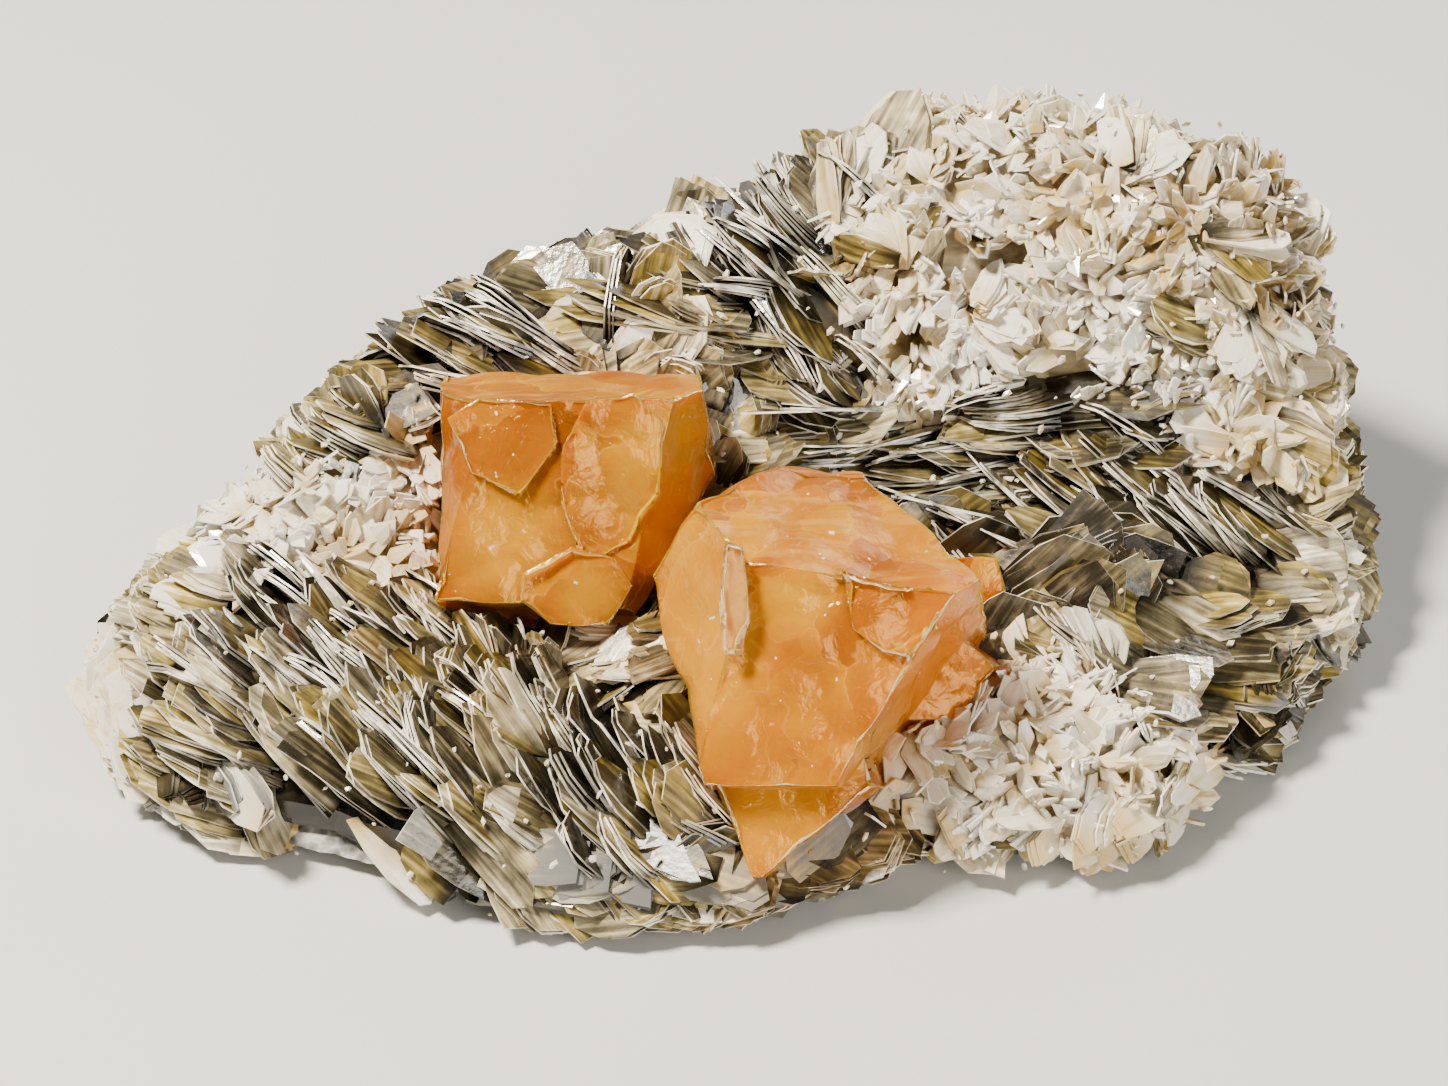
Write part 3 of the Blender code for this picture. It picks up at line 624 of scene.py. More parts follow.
def leaf_shape(rng):
    """A sheet of a book, 1 long and 1 wide: blunt at the foot, narrow and uneven at the tip."""
    bm = bmesh.new()
    bmesh.ops.create_grid(bm, x_segments=3, y_segments=2, size=0.5)
    tip_width, foot_width = rng.uniform(0.35, 0.95), rng.uniform(0.5, 0.85)
    point, slant = rng.uniform(0.0, 0.1), rng.uniform(-0.22, 0.22)
    for v in bm.verts:
        x, y = v.co.x, v.co.y
        if x > 0.4:
            v.co.x += point if y == 0 else -rng.uniform(0, 0.12)
            v.co.y *= tip_width
        elif x < -0.4:
            v.co.y *= foot_width
        elif y != 0:
            v.co.y *= rng.uniform(0.84, 1.02)
        v.co.x += slant * v.co.y + rng.uniform(-0.03, 0.03)
        v.co.y += rng.uniform(-0.03, 0.03)
    return flake(bm)


def shard_shape(rng):
    """A small blade of a rosette: a few straight sides, narrower at its tip."""
    bm = bmesh.new()
    sides = rng.choice((4, 5, 5, 6))
    bmesh.ops.create_circle(bm, cap_ends=True, segments=sides, radius=0.5)
    bmesh.ops.rotate(bm, verts=bm.verts, matrix=Matrix.Rotation(rng.uniform(0, math.tau), 3, "Z"))
    for v in bm.verts:
        v.co *= rng.uniform(0.78, 1.1)
        v.co.y *= 1 - SHARD_TAPER * (v.co.x + 0.5)
    bmesh.ops.poke(bm, faces=bm.faces[:])
    return flake(bm, SHARD_BORDER, SHARD_BULGE)


def make_shapes(maker, count):
    rng = random.Random(maker.__name__)
    return [maker(rng) for _ in range(count)]


SHAPES = {"leaf": make_shapes(leaf_shape, SHAPE_COUNT), "shard": make_shapes(shard_shape, SHAPE_COUNT)}


def random_vector(rng, spread):
    return Vector([rng.gauss(0, spread) for _ in range(3)])


def turned(rng, vectors, degrees):
    """The vectors turned together by one random small turn."""
    spin = random_vector(rng, 1)
    turn = Matrix.Rotation(math.radians(rng.gauss(0, degrees)), 3, spin)
    return tuple(turn @ v for v in vectors)


def book(rng, middle, axis, normal, habit, kind="leaf", clear=0.0, opening=1.0, bend=0.0):
    """A stack of sheets, nearly parallel, that end in steps and open a little at the tips."""
    count = max(1, round(habit.thick / SHEET_PITCH))
    side = normal.cross(axis)
    foot = middle - axis * (habit.length / 2)
    outline = rng.randrange(SHAPE_COUNT)
    shade = rng.gauss(0, BOOK_SHADE)
    slide = 0.0
    plates = []
    for i in range(count):
        step = i - (count - 1) / 2
        lean = Matrix.Rotation(math.radians(opening * step + rng.gauss(0, SHEET_LEAN)), 3, side)
        swing = Matrix.Rotation(math.radians(rng.gauss(0, SHEET_SWING)), 3, normal)
        along = (lean @ (swing @ axis)).normalized()
        length = habit.length * rng.uniform(*SHEET_LENGTHS)
        slide += rng.gauss(0, SHEET_SLIDE)
        place = foot + along * (length / 2 + habit.length * slide) + normal * (step * SHEET_PITCH)
        place += side * (rng.gauss(0, SHEET_SLIDE) * habit.width)
        if rng.random() < NEW_OUTLINE_SHARE:
            outline = rng.randrange(SHAPE_COUNT)
        plates.append(Plate(
            middle=place, axis=along, normal=(lean @ normal).normalized(), length=length,
            width=habit.width * rng.uniform(*SHEET_WIDTHS),
            thick=SHEET * rng.uniform(*SHEET_THICKNESSES), bend=bend,
            tone=clamped(habit.tone + shade + rng.gauss(0, SHEET_SHADE)),
            chance=rng.random(), clear=clear, shape=(kind, outline),
        ))
    return plates


def habit_for(rng, point):
    """How mica grows at a point: the nearest habit, or one that reaches over from beside it."""
    right, up = shown_at(point)
    return min(HABITS, key=lambda h: math.hypot(right - h.right, up - h.up) * rng.uniform(*HABIT_REACH))


def loose_habit(length, width, thick, tone):
    """The size and tone of a blade that no place of the shown side gives."""
    return Habit(0, 0, 0, 0, length, width, thick, 0, tone)


def blade_lie(rake, face):
    """The long axis of a blade and the normal of its flat face."""
    rake, face = math.radians(rake), math.radians(face)
    edge = UP * math.cos(rake) - RIGHT * math.sin(rake)
    return RIGHT * math.cos(rake) + UP * math.sin(rake), edge * math.cos(face) + OUT * math.sin(face)


def book_axes(rng, habit, ground_normal, stray, most_lift):
    """The long axis and the flat face's normal of a book that grows here, off the ground."""
    axis, normal = blade_lie(habit.rake, habit.face + FACE_TURN)
    if axis.dot(ground_normal) < 0:
        axis = -axis
    axis, normal = turned(rng, (axis, normal), stray)
    spin = axis.cross(ground_normal)
    if spin.length < TINY:
        return axis, normal
    lift = Matrix.Rotation(math.radians(rng.uniform(0, most_lift)), 3, spin)
    return lift @ axis, lift @ normal


def rosette_hearts(rng, points, normals):
    """The hearts of a mass's rosettes, deep in the ground, each with its own shade."""
    hearts = []
    for point, normal in places_apart(points, normals, ROSETTE_SPACING):
        heart = point - normal * rng.uniform(*HEART_DEPTHS)
        hearts.append((heart, rng.gauss(0, HEART_SHADE)))
    return hearts


def rosette_plates(rng, point, ground_normal, hearts, habit):
    """A blade, or a few of them, that leans away from the heart of its rosette like a petal."""
    heart, shade = min(hearts, key=lambda h: (h[0] - point).length)
    away = point - heart + random_vector(rng, PETAL_STRAY)
    along = away - ground_normal * away.dot(ground_normal)
    if along.length < TINY:
        along = ground_normal.orthogonal()
    along.normalize()
    rise = math.radians(rng.uniform(*PETAL_RISES))
    axis = along * math.cos(rise) + ground_normal * math.sin(rise)
    normal = ground_normal * math.cos(rise) - along * math.sin(rise)
    normal = Matrix.Rotation(math.radians(rng.gauss(0, PETAL_ROLL)), 3, axis) @ normal
    size = rng.triangular(*PETAL_LENGTHS)
    fan = rng.random() < PETAL_FAN_SHARE
    petal = habit._replace(
        length=size * (PETAL_FAN_GROWTH if fan else 1), width=size * rng.uniform(*PETAL_WIDTHS),
        thick=SHEET_PITCH * (PETAL_FAN_SHEETS if fan else 1), tone=habit.tone + shade,
    )
    middle = point + axis * (petal.length * rng.uniform(*PETAL_SEATS_ALONG))
    middle += ground_normal * PETAL_SEAT_OUT
    return book(rng, middle, axis, normal, petal, "shard", opening=rng.uniform(*PETAL_OPENINGS))


def mass_plates(name, points, normals):
    """The flakes that cover one mass of mica: the petals of its rosettes, and its books."""
    rng = random.Random(name + " fine")
    own = [i for i in range(len(points)) if site_of(points[i]) == name]
    points, normals = points[own], normals[own]
    hearts = rosette_hearts(rng, points, normals)
    plates = []
    for point, ground_normal in places_apart(points, normals, DRUSE_SPACING):
        habit = habit_for(rng, point)
        if habit.rake is not None:
            continue
        gloom = crevice_at(point)
        # In a crevice fewer blades grow, and those that do are darkened with painted shade.
        if rng.random() > CREVICE_BARENESS * gloom:
            habit = habit._replace(tone=habit.tone - CREVICE_PAINTED_SHADE * gloom)
            plates += rosette_plates(rng, point, ground_normal, hearts, habit)
    for point, ground_normal in places_apart(points, normals, BOOK_SPACING):
        habit = habit_for(rng, point)
        if habit.rake is None:
            continue
        axis, normal = book_axes(rng, habit, ground_normal, habit.stray, BOOK_LIFT)
        habit = habit._replace(
            length=habit.length * rng.uniform(*BOOK_LENGTHS), width=habit.width * rng.uniform(*BOOK_WIDTHS),
            thick=rng.triangular(*BOOK_THICKNESSES),
        )
        if rng.random() < OPEN_FACE_SHARE:
            turn = math.radians(rng.uniform(*OPEN_FACE_TURNS))
            normal = Matrix.Rotation(turn, 3, axis) @ normal
        middle = point + axis * (BOOK_SEAT * habit.length)
        plates += book(rng, middle, axis, normal, habit, opening=rng.uniform(*BOOK_OPENINGS),
                       bend=rng.uniform(*BOOK_BENDS))
    return plates


def fan_plates(rng, point, ground_normal, fan):
    """The leaves of a fan, which open from one foot; the fan cups from side to side."""
    middle_axis, flat = blade_lie(fan.rake, fan.face)
    plates = []
    for i in range(fan.count):
        share = i / (fan.count - 1) - 0.5
        spread = math.radians(fan.opening * share + rng.gauss(0, LEAF_STRAY))
        axis = Matrix.Rotation(spread, 3, flat) @ middle_axis
        cup = math.radians(-FAN_CUP * share + rng.gauss(0, LEAF_ROLL))
        normal = Matrix.Rotation(cup, 3, axis) @ flat
        length = fan.length * rng.uniform(*LEAF_LENGTHS)
        leaf = loose_habit(length, fan.width, rng.choice(LEAF_THICKNESS_CHOICES), fan.tone)
        middle = point + ground_normal * FAN_SEAT_OUT + axis * (LEAF_SEAT_ALONG * leaf.length)
        middle += flat * (LEAF_PITCH * i + FIRST_LEAF)
        plates += book(rng, middle, axis, normal, leaf, clear=fan.clear, bend=rng.uniform(*LEAF_BENDS))
    return plates


def feature_plates(name, points, normals):
    """The books and fans that stand out, each at its own place."""
    rng = random.Random(name + " features")
    plates = []
    for habit in FEATURES:
        point, ground_normal = place_seen_at(points, normals, habit)
        if site_of(point) == name:
            axis, normal = book_axes(rng, habit, ground_normal, 0, FEATURE_LIFT)
            middle = point + ground_normal * (FEATURE_SEAT_OUT * habit.width)
            middle += axis * (FEATURE_SEAT_ALONG * habit.length)
            habit = habit._replace(thick=habit.thick + FEATURE_THICKER)
            plates += book(rng, middle, axis, normal, habit, opening=rng.uniform(*FEATURE_OPENINGS),
                           bend=rng.uniform(*FEATURE_BENDS))
    for fan in FANS:
        point, ground_normal = place_seen_at(points, normals, fan)
        if site_of(point) == name:
            plates += fan_plates(rng, point, ground_normal, fan)
    return plates


def rim_book(rng, foot, width):
    """One broad plate on the foot of the bed, which hangs along it."""
    outward = Vector((foot.x - ROCK_MIDDLE.x, foot.y - ROCK_MIDDLE.y, 0)).normalized()
    along = Vector((-outward.y, outward.x, 0)) * rng.choice((-1, 1))
    normal = outward * rng.uniform(*RIM_OUTWARD) + Vector((0, 0, rng.uniform(*RIM_UPWARD)))
    normal.normalize()
    axis = (along + normal.cross(along) * rng.uniform(*RIM_SLOPES)).normalized()
    axis, normal = turned(rng, (axis, normal), RIM_STRAY)
    plate = loose_habit(width * rng.uniform(*RIM_LENGTHS), width * rng.uniform(*RIM_WIDTHS),
                        rng.uniform(*RIM_THICKNESSES), rng.uniform(*RIM_TONES))
    clear = rng.choice(RIM_CLEAR_CHOICES)
    if ground_finish(foot) == CREAM:
        plate = loose_habit(RIM_PALE_SIZE * plate.length, RIM_PALE_SIZE * plate.width, plate.thick,
                            plate.tone + RIM_PALE_TONE)
        clear = 0
    return book(rng, foot + outward * RIM_SEAT_OUT, axis, normal, plate, clear=clear)


def rim_plates(name):
    """Rows of plates along the foot of the bed that hide where it meets the rock."""
    rng = random.Random(name + " rim")
    plates = []
    for height, width in RIM_ROWS:
        angle = 0.0
        while angle < math.tau:
            foot = ground_point(angle, RIM_RING)
            foot.z = height
            angle += RIM_SPACING * rng.uniform(*RIM_STEPS) / belt_radius(angle)
            if site_of(foot) == name:
                plates += rim_book(rng, foot, width)
    return plates


def flecks(name, points, normals):
    """Loose crumbs of pale mica on top of everything."""
    rng = random.Random(name + " flecks")
    plates = []
    for point, normal in places_apart(points, normals, FLECK_SPACING):
        if site_of(point) != name:
            continue
        axis, side = turned(rng, (normal.orthogonal().normalized(), normal), CRUMB_STRAY)
        size = rng.uniform(*CRUMB_LENGTHS)
        crumb = loose_habit(size, size * CRUMB_WIDTH, SHEET, rng.uniform(*CRUMB_TONES))
        plates += book(rng, point + normal * rng.uniform(*CRUMB_HEIGHTS), axis, side, crumb, "shard")
    return plates


def room():
    """The lowest and highest corners of the room that flakes may take."""
    low, high = (np.array(corner) / MM - np.array(CENTRING) for corner in cad_box)
    low += BOX_MARGIN
    low[2] = FLOOR_CLEARANCE
    return low, high - BOX_MARGIN


LOW, HIGH = room()


def placed(plate):
    """The flake moved off the floor, into the solids' box and so that its tip isn't far from the
    ground, and how much painted orange light from a crystal falls on it, or None where it can't stand."""
    tip = plate.middle + plate.axis * (plate.length / 2)
    near, ground_normal, _, _ = GROUND.find_nearest(tip)
    excess = (tip - near).dot(ground_normal) - TIP_REACH
    if excess > 0:
        back = min(excess, SLIDE_BACK * plate.length)
        plate = plate._replace(middle=plate.middle - plate.axis * back)
    side = plate.normal.cross(plate.axis)
    corners = np.array([
        (plate.middle + plate.axis * (s * plate.length / 2) + side * (t * plate.width / 2))[:]
        for s in FLAKE_ENDS for t in (-1, 1)
    ])
    shift = np.maximum(LOW - corners.min(0), 0) - np.maximum(corners.max(0) - HIGH, 0)
    if np.abs(shift).max() > MAX_SHIFT:
        return None
    middle = plate.middle + Vector(shift)
    depth = max(depth_in_crystal(middle + plate.axis * (s * plate.length)) for s in DEPTH_PLACES)
    if depth > DEPTH_IN_CRYSTAL:
        return None
    return plate._replace(middle=middle), math.exp(min(0, depth) / GLOW_REACH)


class Gathered:
    """Points, faces and corner values of many joined shapes."""

    LAYERS = ("rim", "tone", "chance", "tip", "glow", "clear")

    def __init__(self):
        self.parts = []
        self.count = 0

    def add(self, points, corners, sizes, values, leaves, finishes):
        self.parts.append((points, corners + self.count, sizes, values, leaves, finishes))
        self.count += len(points)

    def add_copies(self, shape, plates, glows, finish):
        """Adds one shape at the size and place of each of these plates."""
        base, faces, rim = shape
        axis, normal, middle = (
            np.array([vector[:] for vector in vectors])
            for vectors in zip(*((p.axis, p.normal, p.middle) for p in plates))
        )
        side = np.cross(normal, axis)
        size = np.array([(p.length, p.width, p.thick) for p in plates])
        bend, tone, chance, clear, glow = (
            np.array(column)[:, None]
            for column in zip(*((p.bend, p.tone, p.chance, p.clear, g) for p, g in zip(plates, glows)))
        )
        flat = base[None] * size[:, None]
        bent = flat.copy()
        bent[:, :, 2] -= bend * flat[:, :, 0] ** 2
        points = (middle[:, None] + bent[:, :, :1] * axis[:, None] + bent[:, :, 1:2] * side[:, None]
                  + bent[:, :, 2:] * normal[:, None])
        corners = np.concatenate([np.array(f) for f in faces])
        starts = (np.arange(len(plates)) * len(base))[:, None]
        tip = np.clip(base[corners, 0] + 0.5, 0, 1)
        values = np.stack(np.broadcast_arrays(rim, tone, chance, tip, glow, clear), axis=-1)
        leaves = flat[:, corners]
        leaves[:, :, 2] = chance * STREAK_STEP
        self.add(points.reshape(-1, 3), (corners[None] + starts).ravel(),
                 np.tile([len(f) for f in faces], len(plates)), values.reshape(-1, len(self.LAYERS)),
                 leaves.reshape(-1, 3), np.full(len(plates) * len(faces), finish))

    def mesh(self, name):
        points, corners, sizes, values, leaves, finishes = map(np.concatenate, zip(*self.parts))
        places = (points + np.array(CENTRING)) * MM
        mesh = bpy.data.meshes.new(name)
        mesh.vertices.add(len(points))
        mesh.vertices.foreach_set("co", places.astype(np.float32).ravel())
        mesh.loops.add(len(corners))
        mesh.loops.foreach_set("vertex_index", corners.astype(np.int32))
        mesh.polygons.add(len(sizes))
        mesh.polygons.foreach_set("loop_start", (np.cumsum(sizes) - sizes).astype(np.int32))
        mesh.polygons.foreach_set("material_index", finishes.astype(np.int32))
        mesh.update(calc_edges=True)
        mesh.shade_flat()
        for k, layer in enumerate(self.LAYERS):
            attribute = mesh.attributes.new(layer, "FLOAT", "CORNER")
            attribute.data.foreach_set("value", values[:, k].astype(np.float32))
        attribute = mesh.attributes.new("leaf", "FLOAT_VECTOR", "CORNER")
        attribute.data.foreach_set("vector", leaves.astype(np.float32).ravel())
        return mesh


def ground_finish(point):
    """The finish of the mica that grows at a point."""
    right, up = shown_at(point)
    nearest = min(HABITS, key=lambda h: math.hypot(right - h.right, up - h.up))
    return CREAM if nearest.rake is None else OLIVE


def blade_finish(plate):
    return CREAM if plate.shape[0] == "shard" or plate.tone > PALE_TONE else OLIVE


def core_of(name):
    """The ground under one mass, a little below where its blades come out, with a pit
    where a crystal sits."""
    bm = ground_mesh()
    for v, normal in [(v, v.normal.copy()) for v in bm.verts]:
        v.co -= normal * (CORE_DEPTH + CREVICE_DEPTH * crevice_at(v.co))
        for tree in TREES:
            hit = tree.ray_cast(v.co, Vector((0, 0, -1)))
            if hit[0] is not None and hit[1].z < 0:
                v.co.z = max(CORE_FLOOR, hit[0].z - CORE_PIT)
    own = Vector(SITES[name])
    for other in SITES.values():
        away = Vector(other) - own
        if away.length == 0:
            continue
        middle = (own + Vector(other)) / 2
        cut = bmesh.ops.bisect_plane(
            bm, geom=bm.verts[:] + bm.edges[:] + bm.faces[:], dist=1e-4,
            plane_co=middle.to_3d(), plane_no=away.normalized().to_3d(), clear_outer=True,
        )
        rim = [e for e in cut["geom_cut"] if isinstance(e, bmesh.types.BMEdge)]
        if rim:
            bmesh.ops.holes_fill(bm, edges=rim, sides=0)
    bm.verts.index_update()
    points = np.array([v.co[:] for v in bm.verts])
    corners = np.array([v.index for f in bm.faces for v in f.verts])
    sizes = np.array([len(f.verts) for f in bm.faces])
    finishes = [ground_finish(f.calc_center_median()) for f in bm.faces]
    bm.free()
    gloom = np.array([crevice_at(p) for p in points])[corners]
    # Painted shade: in a crevice the ground's tone falls to a dark one.
    tones = np.repeat([CORE_TONES[finish] for finish in finishes], sizes)
    tones = tones + (CORE_CREVICE_SHADE_TONE - tones) * gloom
    values = np.stack(np.broadcast_arrays(0.0, tones, CORE_CHANCE, CORE_TIP, 0.0, 0.0), axis=-1)
    return points, corners, sizes, values, points[corners], np.array(finishes)


def stand_in(name, mesh, materials):
    """Puts a finished mesh in the place of a solid."""
    for material in materials:
        mesh.materials.append(material)
    piece = bpy.data.objects.new(name + "_fine", mesh)
    bpy.context.scene.collection.objects.link(piece)
    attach(piece, "root")
    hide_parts(name)


def mica_piece(name, points, normals, materials):
    """One mass of mica: its packed ground and all its flakes, in one mesh."""
    found = mass_plates(name, points, normals) + feature_plates(name, points, normals)
    found += rim_plates(name) + flecks(name, points, normals)
    kept = [fitted for fitted in map(placed, found) if fitted]
    gathered = Gathered()
    gathered.add(*core_of(name))
    for kind, shapes in SHAPES.items():
        for k, shape in enumerate(shapes):
            for finish in (OLIVE, CREAM):
                mine = [(plate, glow) for plate, glow in kept
                        if plate.shape == (kind, k) and blade_finish(plate) == finish]
                if mine:
                    gathered.add_copies(shape, *zip(*mine), finish)
    stand_in(name, gathered.mesh(name + "_fine"), materials)


# Materials.

ATTRIBUTE = "ShaderNodeAttribute"
BUMP = "ShaderNodeBump"
MAP_RANGE = "ShaderNodeMapRange"
MATH = "ShaderNodeMath"
MIX = "ShaderNodeMix"
NOISE = "ShaderNodeTexNoise"
PRINCIPLED = "ShaderNodeBsdfPrincipled"
RAMP = "ShaderNodeValToRGB"
VECTOR_MATH = "ShaderNodeVectorMath"
VORONOI = "ShaderNodeTexVoronoi"


def add(tree, kind, inputs=(), stops=(), **settings):
    """Adds a node with its settings. Its inputs come by name or number, or in order, and each is
    a value, a hex colour or a (node, output) link. The stops of a ramp are places and colours."""
    node = tree.nodes.new(kind)
    for key, value in settings.items():
        setattr(node, key, value)
    for key, value in inputs.items() if isinstance(inputs, dict) else enumerate(inputs):
        if isinstance(value, tuple) and isinstance(value[0], bpy.types.Node):
            tree.links.new(value[0].outputs[value[1]], node.inputs[key])
        else:
            node.inputs[key].default_value = linear(value) if isinstance(value, str) else value
    for i, (place, colour) in enumerate(stops):
        points = node.color_ramp.elements
        point = points[i] if i < len(points) else points.new(1.0)
        point.position = place
        point.color = linear(colour)
    return node


def new_material(name):
    material = bpy.data.materials.new(name)
    material.use_nodes = True
    tree = material.node_tree
    tree.nodes.clear()
    return material, tree


def finish_material(tree, inputs):
    """Ends a material in its shader."""
    shader = add(tree, PRINCIPLED, inputs)
    add(tree, "ShaderNodeOutputMaterial", {"Surface": (shader, 0)})


def muscovite(name, stops, foot_shade_colour, pale_rim_and_highlight_colour, pale_rim_and_highlight_weight, roughness, honey, transmission):
    """Muscovite mica, cleaved: flat pearly faces with fine streaks along the blade, pale rims that are
    partly their own colour and partly a painted highlight, feet darkened with painted shade, honey
    patches and painted orange light beside the scheelite."""
    material, tree = new_material(name)
    place = add(tree, "ShaderNodeTexCoord")
    tone, rim, chance, tip, glow, clear, leaf = (
        add(tree, ATTRIBUTE, attribute_name=a)
        for a in ("tone", "rim", "chance", "tip", "glow", "clear", "leaf")
    )
    cloud = add(tree, NOISE, {"Vector": (place, "Object"), "Scale": 1 / (3 * MM), "Detail": 4.0})
    along = add(tree, "ShaderNodeMapping", {"Vector": (leaf, "Vector"), "Scale": (0.12, 1.6, 1.0)})
    streak = add(tree, NOISE, {"Vector": (along, "Vector"), "Scale": 1.0, "Detail": 5.0})
    clouded = add(tree, MAP_RANGE, ((cloud, "Fac"), 0.3, 0.7, -0.14, 0.14))
    streaked = add(tree, MAP_RANGE, ((streak, "Fac"), 0.3, 0.7, -0.2, 0.2))
    both = add(tree, MATH, ((clouded, 0), (streaked, 0)), operation="ADD")
    toned = add(tree, MATH, ((tone, "Fac"), (both, 0)), operation="ADD")
    body = add(tree, RAMP, {"Fac": (toned, 0)}, stops)
    richness = add(tree, MAP_RANGE, ((chance, "Fac"), 0.0, 1.0, 0.5, 1.04))
    tinted = add(tree, "ShaderNodeHueSaturation", {"Color": (body, "Color"), "Saturation": (richness, 0)})
    # Pale rims, partly the mica's own colour and partly a painted highlight; this noise makes some rims
    # bright and others not.
    worn = add(tree, MAP_RANGE, ((cloud, "Fac"), 0.42, 0.58, 0.25 * pale_rim_and_highlight_weight, pale_rim_and_highlight_weight))
    near_rim = add(tree, MAP_RANGE, ((rim, "Fac"), 0.6, 1.0, 0.0, 1.0))
    edge = add(tree, MATH, ((near_rim, 0), (worn, 0)), operation="MULTIPLY")
    edged = add(tree, MIX, {0: (edge, 0), 6: (tinted, 0), 7: pale_rim_and_highlight_colour}, data_type="RGBA")
    # Painted shade: blades darken towards their feet, and so does the ground under them, so that the gaps
    # between blades read dark.
    foot = add(tree, RAMP, {"Fac": (tip, "Fac")}, ((0.0, foot_shade_colour), (0.6, "#FFFFFF")))
    shaded = add(tree, MIX, {0: 1.0, 6: (edged, 2), 7: (foot, "Color")},
                 data_type="RGBA", blend_type="MULTIPLY")
    film = add(tree, MATH, ((clear, "Fac"), 0.65), operation="MULTIPLY")
    glassy = add(tree, MIX, {0: (film, 0), 6: (shaded, 2), 7: "#C9CAC6"}, data_type="RGBA")
    # Painted orange light: the light of a nearby crystal, tinting the mica beside it.
    orange_light = add(tree, MATH, ((glow, "Fac"), 0.3), operation="MULTIPLY")
    orange_lit = add(tree, MIX, {0: (orange_light, 0), 6: (glassy, 2), 7: "#F6BC6C"},
                  data_type="RGBA", blend_type="MULTIPLY")
    patch = add(tree, NOISE, {"Vector": (place, "Object"), "Scale": 1 / (16 * MM), "Detail": 2.0})
    patchy = add(tree, MAP_RANGE, ((patch, "Fac"), 0.44, 0.62, 0.0, honey))
    less_white = add(tree, MAP_RANGE, ((tone, "Fac"), 0.65, 0.95, 1.0, 0.25))
    warmth = add(tree, MATH, ((patchy, 0), (less_white, 0)), operation="MULTIPLY")
    warmed = add(tree, MIX, {0: (warmth, 0), 6: (orange_lit, 2), 7: "#ECD48C"},
                 data_type="RGBA", blend_type="MULTIPLY")
    gloss = add(tree, MAP_RANGE, ((chance, "Fac"), 0.0, 1.0, roughness * 0.4, roughness * 1.6))
    grain = add(tree, NOISE, {"Vector": (place, "Object"), "Scale": 1 / (0.8 * MM), "Detail": 3.0})
    bump = add(tree, BUMP, {"Height": (grain, "Fac"), "Strength": 0.3, "Distance": 0.12 * MM})
    finish_material(tree, {
        "Base Color": (warmed, 2), "Roughness": (gloss, 0), "IOR": 1.58, "Normal": (bump, 0),
        "Transmission Weight": transmission,
    })
    return material


